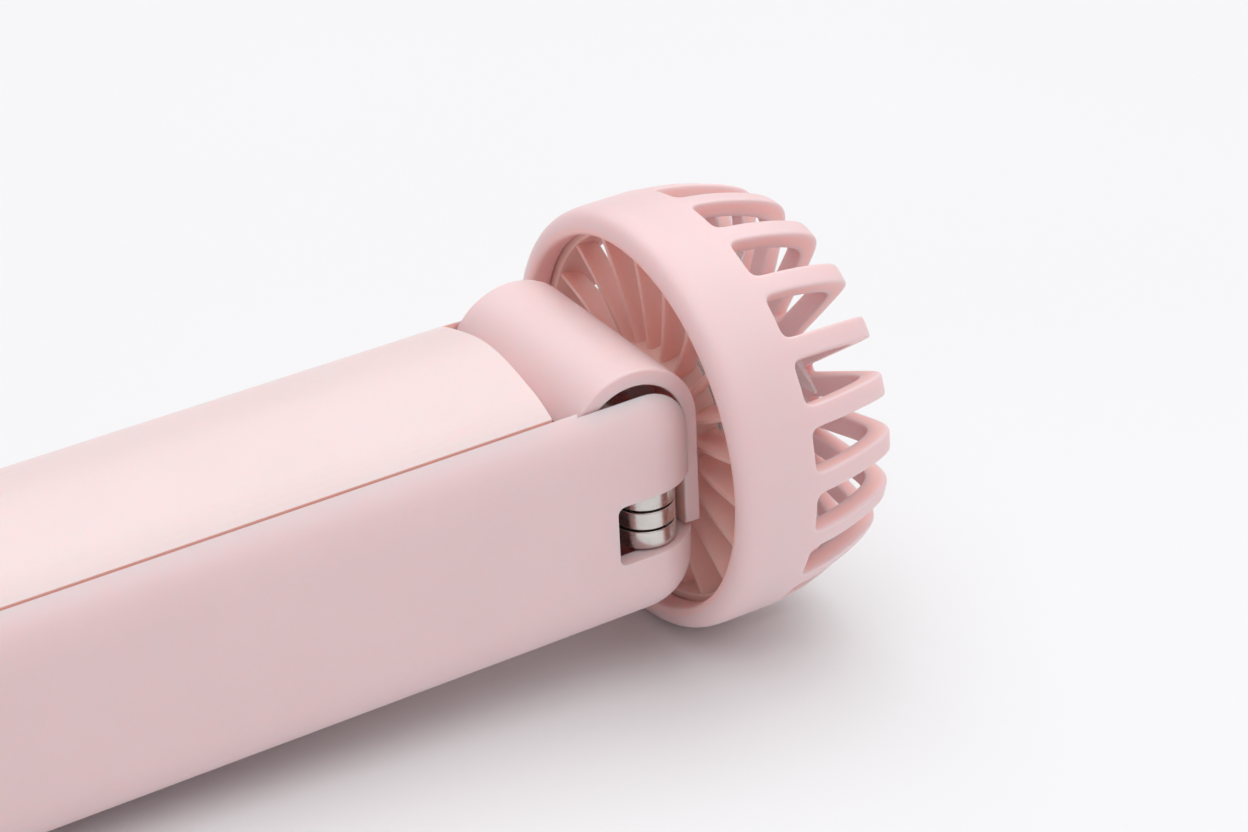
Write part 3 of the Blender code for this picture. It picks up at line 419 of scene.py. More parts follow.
def metal(name, colour, roughness, streaks, depth=0.004 * MM):
    """Bare metal with fine tool marks that run across the given stretch."""
    nodes = Nodes(name)
    marks = nodes.noise(1.0, 4.0, nodes.stretched(streaks))
    patina = nodes.ramp(nodes.noise(350.0, 3.0), 0.0, 1.0)
    tone = nodes.mix(patina, shaded(colour, 0.9), shaded(colour, 1.05))
    rough = nodes.ramp(marks, roughness - 0.06, roughness + 0.08)
    normal = nodes.bump(marks, depth, 0.5)
    return nodes.feed(Base_Color=tone, Roughness=rough, Normal=normal, Metallic=1.0)


def banded(name, dark, light, roughness, scale, metallic=0.0, direction="X"):
    """A wound or ribbed surface: close parallel bands."""
    nodes = Nodes(name)
    wave = nodes.add("ShaderNodeTexWave", bands_direction=direction)
    wave.inputs["Scale"].default_value = scale
    wave.inputs["Distortion"].default_value = 0.4
    nodes.link(nodes.coordinates, wave.inputs["Vector"])
    tone = nodes.mix(wave.outputs["Fac"], dark, light)
    rough = nodes.ramp(nodes.noise(800.0), roughness - 0.05, roughness + 0.05)
    normal = nodes.bump(wave.outputs["Fac"], 0.05 * MM)
    return nodes.feed(Base_Color=tone, Roughness=rough, Normal=normal, Metallic=metallic)


def circuit(name):
    """Solder mask over copper tracks, with pads showing here and there."""
    nodes = Nodes(name)
    tracks = nodes.add("ShaderNodeTexBrick", offset=0.37)
    tracks.inputs["Scale"].default_value = 420.0
    tracks.inputs["Mortar Size"].default_value = 0.018
    tracks.inputs["Color1"].default_value = (0.02, 0.16, 0.07, 1.0)
    tracks.inputs["Color2"].default_value = (0.015, 0.13, 0.06, 1.0)
    tracks.inputs["Mortar"].default_value = (0.05, 0.30, 0.13, 1.0)
    nodes.link(nodes.coordinates, tracks.inputs["Vector"])
    pads = nodes.add("ShaderNodeTexVoronoi")
    pads.inputs["Scale"].default_value = 330.0
    nodes.link(nodes.coordinates, pads.inputs["Vector"])
    pad = nodes.ramp(pads.outputs["Distance"], 1.0, 0.0, 0.16, 0.2)
    tone = nodes.mix(pad, tracks.outputs["Color"], (0.62, 0.56, 0.40))
    rough = nodes.ramp(nodes.noise(600.0), 0.3, 0.42)
    normal = nodes.bump(tracks.outputs["Fac"], 0.02 * MM, 0.6)
    return nodes.feed(Base_Color=tone, Roughness=rough, Normal=normal)


def clear_moulding(name):
    nodes = Nodes(name)
    rough = nodes.ramp(nodes.noise(500.0, 3.0), 0.12, 0.2)
    normal = nodes.bump(nodes.noise(180.0, 2.0), 0.02 * MM, 0.3)
    tone = nodes.mix(nodes.ramp(nodes.noise(90.0), 0.0, 1.0), (0.93, 0.90, 0.92), (0.97, 0.95, 0.96))
    return nodes.feed(Base_Color=tone, Roughness=rough, Normal=normal, Alpha=0.4, Coat_Weight=1.0)


PINK = (0.86, 0.67, 0.68)
# A paler, less saturated copy of PINK: painted highlight, the white sheen that lit top surfaces take.
PAINTED_HIGHLIGHT_PINK = (0.86, 0.71, 0.705)
# A warmer, more saturated pink: painted shade and pink bounce light for faces inside the ring and behind
# the barrel.
PAINTED_RECESS_SHADE = (0.93, 0.64, 0.615)
# A deeper, still more saturated pink: painted bounce light and shade for seam gaps, the barrel's inside,
# the vanes and the button.
PAINTED_BOUNCE_PINK = (0.98, 0.62, 0.56)

GLOW = {
    "Subsurface_Weight": 0.5,
    "Subsurface_Radius": (1.0, 0.26, 0.22),
    "Subsurface_Scale": 3.0 * MM,
}
pink = moulded("pink_moulding", PINK, 0.40, **GLOW)
# The paler pink, with painted highlight.
pink_painted_highlight = moulded("pink_painted_highlight_moulding", PAINTED_HIGHLIGHT_PINK, 0.38, **GLOW)
# The pink with painted shade and bounce light.
pink_painted_shade = moulded("pink_painted_shaded_moulding", PAINTED_RECESS_SHADE, 0.42, **GLOW)
# The deep pink with painted bounce light and shade.
pink_painted_bounce = moulded("pink_painted_bounce_moulding", PAINTED_BOUNCE_PINK, 0.42, **GLOW)
clear = clear_moulding("clear_moulding")
steel = metal("turned_steel", (0.64, 0.61, 0.58), 0.24, (300.0, 300.0, 26000.0))
plain_steel = metal("drawn_steel", (0.60, 0.59, 0.57), 0.30, (9000.0, 600.0, 9000.0))
plated = metal("plated_steel", (0.70, 0.69, 0.67), 0.22, (1200.0, 9000.0, 9000.0))
brass = metal("sintered_brass", (0.72, 0.52, 0.22), 0.38, (7000.0, 7000.0, 7000.0))
copper = banded("enamelled_copper", (0.30, 0.09, 0.04), (0.72, 0.30, 0.14), 0.30, 1500.0, 1.0)
lamination = banded("core_lamination", (0.25, 0.25, 0.26), (0.48, 0.47, 0.46), 0.4, 1000.0, 1.0)
magnet = moulded("bonded_ferrite", (0.06, 0.06, 0.065), 0.62, 0.02 * MM)
board = circuit("circuit_board")
black = moulded("black_moulding", (0.028, 0.028, 0.032), 0.45, 0.01 * MM)
ferrite = moulded("shielded_coil", (0.09, 0.09, 0.095), 0.5, 0.02 * MM)
sleeve = moulded("cell_sleeve", (0.07, 0.20, 0.46), 0.26, 0.012 * MM, Coat_Weight=0.3)
nylon = moulded("natural_nylon", (0.80, 0.78, 0.71), 0.5, 0.01 * MM)
silicone = moulded("lead_sleeve", (0.44, 0.035, 0.035), 0.45, 0.01 * MM)

CARRIED = {
    "strap_post": steel,
    "hinge_pin_near": plain_steel,
    "hinge_pin_far": plain_steel,
    "hinge_clip_near": plain_steel,
    "hinge_clip_far": plain_steel,
    "friction_washer_near": plain_steel,
    "friction_washer_far": plain_steel,
    "battery_tray": black,
    "battery_cell": sleeve,
    "battery_tab_front": plated,
    "battery_tab_rear": plated,
    "main_board": board,
    "board_screw_near": plain_steel,
    "board_screw_far": plain_steel,
    "charge_chip": black,
    "boost_inductor": ferrite,
    "status_led": clear,
    "tact_switch": black,
    "motor_lead_handle": silicone,
    "hinge_bush_near": nylon,
    "hinge_bush_far": nylon,
    "neck_screw_near": plain_steel,
    "neck_screw_far": plain_steel,
    "stator_core": lamination,
    "motor_board": board,
    "bearing_tube": brass,
    "bearing_rear": brass,
    "bearing_front": brass,
    "motor_lead_head": silicone,
    "rotor_cup": plated,
    "magnet_ring": magnet,
    "motor_shaft": plain_steel,
}
for index in range(6):
    CARRIED[f"motor_coil_{index + 1}"] = copper
for node, material in CARRIED.items():
    data = frame["nodes"][node].data
    data.materials.clear()
    data.materials.append(material)


# ---- Handle -------------------------------------------------------------------------------------


def make_shell():
    shell = handle_solid(0.0, SHELL_TAIL, HANDLE_END)
    cavity = handle_solid(WALL, SHELL_TAIL - FAR_OUT, HANDLE_END)
    pads = []
    for side in (-1, 1):
        inner, outer = sorted((side * OPENING_HALF, side * (HALF_WIDTH + FAR_OUT)))
        pads.append(
            box_mesh(
                (EAR_PAD_BACK, inner, EAR_PAD_BOTTOM),
                (HANDLE_END + FAR_OUT, outer, HANDLE_TOP + FAR_OUT),
            )
        )
    cavity = cut(cavity, *pads)
    roof = box_mesh(
        (SHELL_TAIL - FAR_OUT, -OPENING_HALF, HINGE.z + 2 * MM),
        (HANDLE_END + FAR_OUT, OPENING_HALF, HANDLE_TOP + FAR_OUT),
    )
    slot = box_mesh(
        (HINGE.x, -SLOT_HALF, SLOT_FLOOR),
        (HANDLE_END + FAR_OUT, SLOT_HALF, HANDLE_TOP + FAR_OUT),
    )
    throat = box_mesh(
        (EAR_PAD_BACK, -OPENING_HALF, SLOT_FLOOR),
        (HINGE.x + MM, OPENING_HALF, HANDLE_TOP + FAR_OUT),
    )
    socket = hinge_rod(SLOT_HALF, BARREL_RADIUS + GAP, 128)
    window = box_mesh(
        (WINDOW_BACK, -HALF_WIDTH - FAR_OUT, SLOT_FLOOR),
        (HANDLE_END + 3 * FAR_OUT, -OPENING_HALF + FAR_OUT, WINDOW_TOP),
        bevel=1.0 * MM,
        along=1,
    )
    button_hole = rod_mesh(
        (BUTTON_X, 0, HANDLE_BOTTOM - FAR_OUT),
        (BUTTON_X, 0, HANDLE_BOTTOM + WALL + MM),
        BUTTON_RADIUS + GAP,
        64,
    )
    shell = cut(shell, cavity, roof, slot, throat, socket, window, button_hole)
    soften(shell, 0.36 * MM)
    obj = finished("handle_shell_detail", shell, pink, "handle", "handle_shell")
    # The opening's upright seam faces get painted shade.
    paint_seam_shade(obj, OPENING_HALF)
    return weighted(obj)


def paint_seam_shade(obj, half):
    """Paints the upright faces of a seam a deeper pink: painted shade and bounce light in the narrow gap.
    """
    obj.data.materials.append(pink_painted_bounce)
    for polygon in obj.data.polygons:
        is_upright = abs(polygon.normal.y) > 0.9
        if is_upright and abs(abs(polygon.center.y) - half) < 0.05 * MM:
            polygon.material_index = 1


def make_cover():
    cover = handle_solid(0.0, SHELL_TAIL, HANDLE_END)
    strip = box_mesh(
        (COVER_LOW.x, COVER_LOW.y, COVER_LOW.z),
        (COVER_HIGH.x, COVER_HIGH.y, HANDLE_TOP + FAR_OUT),
    )
    under = handle_solid(COVER_THICKNESS, SHELL_TAIL - FAR_OUT, HANDLE_END)
    cover = boolean(cover, ("INTERSECT", strip), ("DIFFERENCE", under))
    soften(cover, 0.5 * MM, 4)
    # The cover wears the paler pink with painted highlight; its upright seam faces get painted shade.
    obj = finished("top_cover_detail", cover, pink_painted_highlight, "handle", "top_cover")
    paint_seam_shade(obj, COVER_HIGH.y)
    return weighted(obj)


def make_bulkhead():
    """The wall that closes the cell bay behind the barrel, up to the cover's underside."""
    low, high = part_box("hinge_bulkhead")
    wall = handle_solid(WALL + GAP, SHELL_TAIL, HANDLE_END)
    slab = box_mesh(low, (high.x, high.y, HANDLE_TOP + CROWN))
    lead_hole = rod_mesh(
        (low.x - MM, 0, HANDLE_LEAD_Z), (high.x + MM, 0, HANDLE_LEAD_Z), LEAD_HOLE_RADIUS
    )
    wall = boolean(wall, ("INTERSECT", slab), ("DIFFERENCE", lead_hole))
    soften(wall, 0.2 * MM)
    # The bulkhead stands in the shade behind the barrel and wears the pink with painted shade.
    return weighted(
        finished("hinge_bulkhead_detail", wall, pink_painted_shade, "handle", "hinge_bulkhead")
    )


def make_tail_cap():
    cap = box_mesh(
        (CAP_LOW.x, -HALF_WIDTH, HANDLE_BOTTOM),
        (CAP_HIGH.x, HALF_WIDTH, HANDLE_TOP),
        CORNER,
        along=0,
        segments=14,
    )
    rim = [e for e in cap.edges if all(abs(v.co.x - CAP_LOW.x) < TINY for v in e.verts)]
    bmesh.ops.bevel(cap, geom=rim, offset=TAIL_EDGE, segments=6, profile=0.5, affect="EDGES")
    crowned(cap, HANDLE_TOP, CORNER)
    hollow = box_mesh(
        (CAP_LOW.x + WALL, -HALF_WIDTH + WALL, HANDLE_BOTTOM + WALL),
        (CAP_HIGH.x + FAR_OUT, HALF_WIDTH - WALL, HANDLE_TOP - WALL),
        CORNER - WALL,
        along=0,
        segments=14,
    )
    crowned(hollow, HANDLE_TOP - WALL, CORNER - WALL)
    socket_low, socket_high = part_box("usb_c_socket")
    port = box_mesh(
        (CAP_LOW.x - FAR_OUT, socket_low.y - GAP, socket_low.z - GAP),
        (CAP_LOW.x + 4 * MM, socket_high.y + GAP, socket_high.z + GAP),
        1.6 * MM,
        along=0,
        segments=6,
    )
    cap = cut(cap, hollow, port)
    soften(cap, 0.25 * MM)
    return weighted(finished("tail_cap_detail", cap, pink, "handle", "tail_cap"))


def make_socket():
    low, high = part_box("usb_c_socket")
    middle = (low.z + high.z) / 2
    outer = box_mesh(low, high, 1.45 * MM, along=0)
    mouth = box_mesh(
        (low.x - FAR_OUT, low.y + SOCKET_WALL, low.z + SOCKET_WALL),
        (low.x + 6 * MM, high.y - SOCKET_WALL, high.z - SOCKET_WALL),
        1.15 * MM,
        along=0,
    )
    tongue = box_mesh(
        (low.x + 0.8 * MM, low.y + 1.2 * MM, middle - 0.35 * MM),
        (low.x + 6.5 * MM, high.y - 1.2 * MM, middle + 0.35 * MM),
    )
    socket = boolean(outer, ("DIFFERENCE", mouth), ("UNION", tongue))
    soften(socket, 0.08 * MM, 2)
    return weighted(finished("usb_c_socket_detail", socket, plated, "handle", "usb_c_socket"))


def make_button():
    low, high = BUTTON_LOW, BUTTON_HIGH
    height = high.z - low.z
    flange = height - 0.9 * MM
    points = [
        (0.0, height),
        (BUTTON_FLANGE_RADIUS, height),
        (BUTTON_FLANGE_RADIUS, flange),
        (BUTTON_RADIUS, flange),
        (BUTTON_RADIUS, 0.0),
        (2.6 * MM, 0.0),
        (2.2 * MM, 0.18 * MM),
        (0.0, 0.35 * MM),
    ]
    profile = rounded_profile(points, 0.4 * MM, 4)
    bm = turned_mesh(profile, Matrix.Translation((BUTTON_X, 0, low.z)), 96, closed=False)
    # The button wears the deep pink with painted bounce light and shade.
    return weighted(finished("power_button_detail", bm, pink_painted_bounce, "button", "power_button"))


def make_strap_rings():
    for label in ("lower", "middle", "upper"):
        node = f"strap_ring_{label}"
        low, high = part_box(node)
        radius = (high.x - low.x) / 2
        height = high.z - low.z
        bore = 1.5 * MM
        points = [
            (radius, height),
            (radius, 0.0),
            (bore, 0.0),
            (bore, height),
        ]
        profile = rounded_profile(points, 0.22 * MM, 4, keep_ends=False)
        middle = (low + high) / 2
        place = Matrix.Translation((middle.x, middle.y, low.z))
        bm = turned_mesh(profile, place, 128)
        weighted(finished(f"{node}_detail", bm, steel, "handle", node))


# ---- Head ---------------------------------------------------------------------------------------


def make_barrel():
    radius, bore = BARREL_RADIUS, BARREL_BORE
    half = BARREL_HIGH.y
    bottom = BARREL_LOW.z - HINGE.z
    end_angle = math.radians(160)
    arc_steps = 56
    angles = [end_angle * i / arc_steps for i in range(arc_steps + 1)]
    outline = [(radius, bottom)]
    outline += [(radius * math.cos(a), BARREL_RISE * math.sin(a)) for a in angles]
    outline += [(bore * math.cos(a), BARREL_BORE_RISE * math.sin(a)) for a in reversed(angles)]
    outline += [(bore, bottom)]
    hood = bmesh.new()
    near = [hood.verts.new((HINGE.x + x, -half, HINGE.z + z)) for x, z in outline]
    far = [hood.verts.new((HINGE.x + x, half, HINGE.z + z)) for x, z in outline]
    count = len(outline)
    caps = [hood.faces.new(near), hood.faces.new(far)]
    for i in range(count):
        hood.faces.new((near[i], near[(i + 1) % count], far[(i + 1) % count], far[i]))
    bmesh.ops.recalc_face_normals(hood, faces=hood.faces[:])
    edges = {e for cap in caps for e in cap.edges}
    bmesh.ops.bevel(
        hood,
        geom=list(edges),
        offset=0.4 * MM,
        segments=4,
        profile=0.5,
        affect="EDGES",
        clamp_overlap=True,
    )
    core = hinge_rod(BARREL_CORE_HALF, BARREL_RISE - 0.05 * MM, 112)
    chamber = hinge_rod(BARREL_CHAMBER_HALF, BARREL_BORE_RISE, 96)
    pins = hinge_rod(half, PIN_BORE_RADIUS, 64)
    lead_window = box_mesh(
        (HINGE.x - radius - FAR_OUT, -3 * MM, HINGE.z - radius - FAR_OUT),
        (HINGE.x + 2.4 * MM, 3 * MM, HINGE.z + 2.4 * MM),
    )
    outlet = rod_mesh(
        (HINGE.x, 0, HEAD_LEAD_Z), (HINGE.x + radius + FAR_OUT, 0, HEAD_LEAD_Z), LEAD_HOLE_RADIUS
    )
    steps = [("UNION", core)]
    steps += [("DIFFERENCE", tool) for tool in (chamber, pins, lead_window, outlet)]
    for side in (-1, 1):
        hole = rod_mesh(
            (HINGE.x + 6 * MM, side * NECK_SCREW_Y, NECK_SCREW_Z),
            (HINGE.x + radius + MM, side * NECK_SCREW_Y, NECK_SCREW_Z),
            1.3 * MM,
        )
        steps.append(("DIFFERENCE", hole))
    barrel = boolean(hood, *steps)
    obj = finished("hinge_barrel_detail", barrel, pink, "head", "hinge_barrel")
    # The bore and the skirt's back face take the deep pink: painted shade and bounce light inside the
    # barrel.
    obj.data.materials.append(pink_painted_bounce)
    for polygon in obj.data.polygons:
        offset = polygon.center - HINGE
        is_round = abs(polygon.normal.y) < 0.3
        is_inside = math.hypot(offset.x, offset.z) < bore + 0.02 * MM
        is_skirt_back = polygon.normal.x < -0.9 and abs(offset.x - bore) < 0.02 * MM
        polygon.material_index = int(is_round and (is_inside or is_skirt_back))
    obj.data.set_sharp_from_angle(angle=math.radians(38))
    return weighted(obj)


# Columns round the cage, for one of its sectors: the distance from the middle of the rib, in its own
# direction, and the sector that the rib belongs to. The middle one is halfway between two ribs.
CORNER_REACH = 0.9 * MM
COLUMNS = (
    (0.0, 0),
    (0.72 * MM, 0),
    (RIB_HALF, 0),
    (RIB_HALF + CORNER_REACH, 0),
    (3.4 * MM, 0),
    (None, 0),
    (-3.4 * MM, 1),
    (-RIB_HALF - CORNER_REACH, 1),
    (-RIB_HALF, 1),
    (-0.72 * MM, 1),
)
RIB_COLUMNS = (-2, -1, 0, 1, 2)
HUB_COLUMNS = (0, 1, 2, 5, 8, 9)

# (radius, distance from the ring's back plane), in mm: round the band from the inside of a slot's
# end, over the back rim, to the outside of it
BAND_PATH = (
    (25.6, 10.5),
    (25.6, 9.6),
    (25.6, 7.0),
    (25.6, 4.6),
    (25.45, 3.75),
    (24.95, 3.35),
    (24.68, 2.9),
    (24.64, 1.9),
    (24.66, 0.9),
    (24.78, 0.4),
    (25.1, 0.1),
    (25.7, 0.0),
    (26.6, 0.16),
    (27.35, 0.66),
    (27.82, 1.45),
    (28.0, 2.6),
    (28.0, 4.5),
    (28.0, 7.0),
    (28.0, 9.4),
    (28.0, 10.5),
)
# Along a rib: the outer line and the inner one
RIB_PATH = (
    ((27.95, 11.4), (25.55, 11.4)),
    ((27.75, 13.0), (25.4, 13.0)),
    ((27.42, 15.0), (25.1, 14.9)),
    ((26.95, 17.0), (24.65, 16.7)),
    ((26.4, 19.0), (24.1, 18.5)),
    ((25.75, 21.0), (23.5, 20.1)),
    ((25.1, 22.6), (22.9, 21.2)),
    ((24.45, 23.75), (22.3, 21.9)),
    ((23.55, 24.55), (21.6, 22.25)),
    ((22.4, 24.85), (20.8, 22.3)),
    ((21.0, 24.65), (19.8, 22.1)),
    ((18.8, 24.0), (18.2, 21.6)),
    ((16.4, 23.3), (16.2, 20.95)),
    ((14.2, 22.6), (14.2, 20.3)),
    ((12.9, 22.2), (12.9, 19.9)),
    ((12.2, 22.0), (12.2, 19.7)),
)
HUB_PATH = (
    ((11.4, 21.75), (11.4, 19.45)),
    ((9.4, 21.15), (9.4, 18.9)),
    ((7.4, 20.75), (7.4, 18.4)),
    ((6.2, 20.55), (6.2, 18.3)),
    ((5.75, 20.35), (5.75, 18.3)),
    ((5.55, 19.9), (5.55, 18.3)),
    ((5.4, 19.45), (5.4, 18.3)),
    ((3.0, 19.4), (3.0, 18.3)),
)
SECTOR = 2 * math.pi / RIB_COUNT
RIB_PHASE = SLOT_PHASE + SECTOR / 2


def cage_point(radius, distance, column):
    count = len(COLUMNS)
    sector, index = divmod(column, count)
    offset, step = COLUMNS[index]
    middle = RIB_PHASE + (sector + step) * SECTOR
    angle = middle + SECTOR / 2 if offset is None else middle + math.asin(offset / radius)
    return Vector((FAN.x + distance, radius * math.cos(angle), FAN.z + radius * math.sin(angle)))


def make_cage():
    bm = bmesh.new()
    total = RIB_COUNT * len(COLUMNS)
    wall = bm.faces.layers.int.new("wall")
    made = {}

    def vert(layer, row, column, point):
        key = (layer, row, column % total)
        if key not in made:
            made[key] = bm.verts.new(cage_point(point[0] * MM, point[1] * MM, column % total))
        return made[key]

    def face(corners, is_wall=False):
        unique = list(dict.fromkeys(corners))
        if len(unique) > 2:
            made_face = bm.faces.new(unique)
            made_face[wall] = int(is_wall)
            # Slot ends and rib sides take material 1, the pink with painted shade.
            made_face.material_index = int(is_wall)

    last = len(BAND_PATH) - 1
    pull = CORNER_REACH * (1 - math.sqrt(0.5)) / MM
    for column in range(total):
        for row, point in enumerate(BAND_PATH):
            vert("band", row, column, point)
    for row in (0, last):
        for column in range(total):
            index = column % len(COLUMNS)
            if index in (2, 8):
                radius, distance = BAND_PATH[row]
                side = 1 if index == 2 else -1
                sector = column // len(COLUMNS) + COLUMNS[index][1]
                middle = RIB_PHASE + sector * SECTOR
                angle = middle + side * math.asin((RIB_HALF / MM + pull) / radius)
                made[("band", row, column)].co = (
                    FAN.x + (distance + pull) * MM,
                    radius * MM * math.cos(angle),
                    FAN.z + radius * MM * math.sin(angle),
                )
    for row in range(last):
        for column in range(total):
            after = (column + 1) % total
            corners = ((row, column), (row, after), (row + 1, after), (row + 1, column))
            face([made[("band", r, c)] for r, c in corners])
    outer_start = {c: made[("band", last, c)] for c in range(total)}
    inner_start = {c: made[("band", 0, c)] for c in range(total)}
    # The ends of the slots, in the band
    for column in range(total):
        index = column % len(COLUMNS)
        if 2 <= index < 8:
            after = (column + 1) % total
            corners = [inner_start[column], inner_start[after]]
            face(corners + [outer_start[after], outer_start[column]], True)
    # Ribs
    outer_row, inner_row = outer_start, inner_start
    for row, (outer, inner) in enumerate(RIB_PATH):
        new_outer, new_inner = {}, {}
        for sector in range(RIB_COUNT):
            columns = [(sector * len(COLUMNS) + c) % total for c in RIB_COLUMNS]
            for column in columns:
                new_outer[column] = vert("outer", row, column, outer)
                new_inner[column] = vert("inner", row, column, inner)
            for a, b in zip(columns, columns[1:]):
                face([outer_row[a], outer_row[b], new_outer[b], new_outer[a]])
                face([inner_row[a], inner_row[b], new_inner[b], new_inner[a]])
            for c in (columns[0], columns[-1]):
                face([outer_row[c], new_outer[c], new_inner[c], inner_row[c]], True)
        outer_row, inner_row = new_outer, new_inner
    # Hub
    rib_end = len(RIB_PATH) - 1
    for sector in range(RIB_COUNT):
        middle = sector * len(COLUMNS) + 5
        outer_row[middle] = vert("outer", rib_end, middle, RIB_PATH[-1][0])
        inner_row[middle] = vert("inner", rib_end, middle, RIB_PATH[-1][1])
        for a, b in ((middle - 3, middle), (middle, middle + 3)):
            b = b % total
            face([outer_row[a], outer_row[b], inner_row[b], inner_row[a]], True)
    hub_columns = [s * len(COLUMNS) + c for s in range(RIB_COUNT) for c in HUB_COLUMNS]
    pairs = list(zip(hub_columns, hub_columns[1:] + hub_columns[:1]))
    for row, (outer, inner) in enumerate(HUB_PATH):
        new_outer = {c: vert("outer_hub", row, c, outer) for c in hub_columns}
        new_inner = {c: vert("inner_hub", row, c, inner) for c in hub_columns}
        for a, b in pairs:
            face([outer_row[a], outer_row[b], new_outer[b], new_outer[a]])
            face([inner_row[a], inner_row[b], new_inner[b], new_inner[a]])
        outer_row, inner_row = new_outer, new_inner
    for end_row, distance in ((outer_row, HUB_PATH[-1][0][1]), (inner_row, HUB_PATH[-1][1][1])):
        pole = bm.verts.new((FAN.x + distance * MM, FAN.y, FAN.z))
        for a, b in pairs:
            face([end_row[a], end_row[b], pole])
    bmesh.ops.recalc_face_normals(bm, faces=bm.faces[:])
    edges = []
    for edge in bm.edges:
        sides = edge.link_faces
        if len(sides) == 2 and sides[0][wall] != sides[1][wall]:
            edges.append(edge)
    bmesh.ops.bevel(
        bm, geom=edges, offset=0.34 * MM, segments=2, profile=0.6, affect="EDGES", clamp_overlap=True
    )
    obj = finished("fan_cage_detail", bm, pink, "head", "fan_cage")
    # Faces inside the band, with the slot ends and rib sides, take the pink with painted shade and bounce
    # light.
    obj.data.materials.append(pink_painted_shade)
    for polygon in obj.data.polygons:
        radial = math.hypot(polygon.center.y, polygon.center.z - FAN.z)
        if radial < BAND_INSIDE and polygon.center.x < FAN.x + BAND_LENGTH:
            polygon.material_index = 1
    return subdivided(obj, 1)


def make_hub_cap():
    low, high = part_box("cage_hub_cap")
    depth = high.x - low.x
    radius = high.y
    points = [
        (0.0, depth),
        (radius * 0.45, depth * 0.96),
        (radius * 0.8, depth * 0.78),
        (radius * 0.95, depth * 0.52),
        (radius, depth * 0.22),
        (radius, 0.0),
        (0.0, 0.0),
    ]
    profile = rounded_profile(points, 0.35 * MM, 4)
    place = Matrix.Translation((low.x, FAN.y, FAN.z)) @ TURN_TO_X
    bm = turned_mesh(profile, place, 96, closed=False)
    # The hub cap wears the paler pink with painted highlight.
    return weighted(finished("cage_hub_cap_detail", bm, pink_painted_highlight, "head", "cage_hub_cap"))


def blade_mesh(count, radii, back, front, sweep, lean, thickness, taper=0.0, chord=10):
    """Swept blades round the fan's axis, each a closed solid with rounded edges."""
    result = bmesh.new()
    rows = len(radii)
    for index in range(count):
        start = 2 * math.pi * index / count
        points = []
        for row, radius in enumerate(radii):
            share = row / (rows - 1)
            line = []
            for step in range(chord + 1):
                along = step / chord
                angle = start + lean * share + sweep * along**1.4
                x = FAN.x + back + (front - back) * along
                line.append(Vector((x, radius * math.cos(angle), FAN.z + radius * math.sin(angle))))
            points.append(line)
        add_blade(result, points, thickness, taper)
    return result


def add_blade(bm, points, thickness, taper):
    """One blade from a grid of points, thinned to 0.55 of its thickness at its two free edges."""
    rows, steps = len(points), len(points[0])
    sides = ([], [])
    for row in range(rows):
        lines = ([], [])
        for step in range(steps):
            here = points[row][step]
            across = points[row][min(step + 1, steps - 1)] - points[row][max(step - 1, 0)]
            up = points[min(row + 1, rows - 1)][step] - points[max(row - 1, 0)][step]
            normal = across.cross(up).normalized()
            along = step / (steps - 1)
            edge = min(along, 1 - along) * (steps - 1)
            half = thickness / 2 * (1 - taper * row / (rows - 1))
            if edge < 1:
                half *= 0.55
            for line, sign in zip(lines, (1, -1)):
                line.append(bm.verts.new(here + sign * half * normal))
        for side, line in zip(sides, lines):
            side.append(line)
    front, rear = sides
    for row in range(rows - 1):
        for step in range(steps - 1):
            for side in sides:
                bm.faces.new(
                    (side[row][step], side[row][step + 1], side[row + 1][step + 1], side[row + 1][step])
                )
        for step in (0, steps - 1):
            bm.faces.new((front[row][step], front[row + 1][step], rear[row + 1][step], rear[row][step]))
    for row in (0, rows - 1):
        for step in range(steps - 1):
            bm.faces.new((front[row][step], front[row][step + 1], rear[row][step + 1], rear[row][step]))


def spaced(low, high, count):
    return [low + (high - low) * i / (count - 1) for i in range(count)]


def make_stator():
    place = Matrix.Translation(FAN) @ TURN_TO_X
    plate_back = (BARREL_HIGH.x - FAN.x) + GAP
    hub_points = [
        (HUB_RADIUS, 8.2 * MM),
        (HUB_RADIUS, 2.3 * MM),
        (7.2 * MM, 2.3 * MM),
        (7.2 * MM, plate_back),
        (2.6 * MM, plate_back),
        (2.6 * MM, 3.8 * MM),
        (HUB_RADIUS - MM, 3.8 * MM),
        (HUB_RADIUS - MM, 8.2 * MM),
    ]
    hub = turned_mesh(rounded_profile(hub_points, 0.25 * MM, 3, keep_ends=False), place, 96)
    rim_points = [
        (25.4 * MM, 8.3 * MM),
        (25.4 * MM, 3.7 * MM),
        (24.0 * MM, 3.7 * MM),
        (24.0 * MM, 8.3 * MM),
    ]
    rim = turned_mesh(rounded_profile(rim_points, 0.25 * MM, 3, keep_ends=False), place, 160)
    vanes = blade_mesh(
        VANE_COUNT,
        spaced(HUB_RADIUS - 0.5 * MM, 24.6 * MM, 12),
        4.0 * MM,
        7.9 * MM,
        VANE_SWEEP,
        math.radians(-8),
        BLADE_THICKNESS,
    )
    lead_hole = rod_mesh((FAN.x, 0, HEAD_LEAD_Z), (FAN.x + 5 * MM, 0, HEAD_LEAD_Z), 1.6 * MM)
    steps = [("UNION", rim), ("UNION", vanes), ("DIFFERENCE", lead_hole)]
    for side in (-1, 1):
        hole = rod_mesh(
            (FAN.x, side * NECK_SCREW_Y, NECK_SCREW_Z),
            (FAN.x + 5 * MM, side * NECK_SCREW_Y, NECK_SCREW_Z),
            1.2 * MM,
        )
        steps.append(("DIFFERENCE", hole))
    bm = boolean(hub, *steps)
    # The stator, deep inside the ring, wears the deep pink with painted bounce light and shade.
    obj = finished("rear_stator_detail", bm, pink_painted_bounce, "head", "rear_stator")
    obj.data.set_sharp_from_angle(angle=math.radians(50))
    return obj


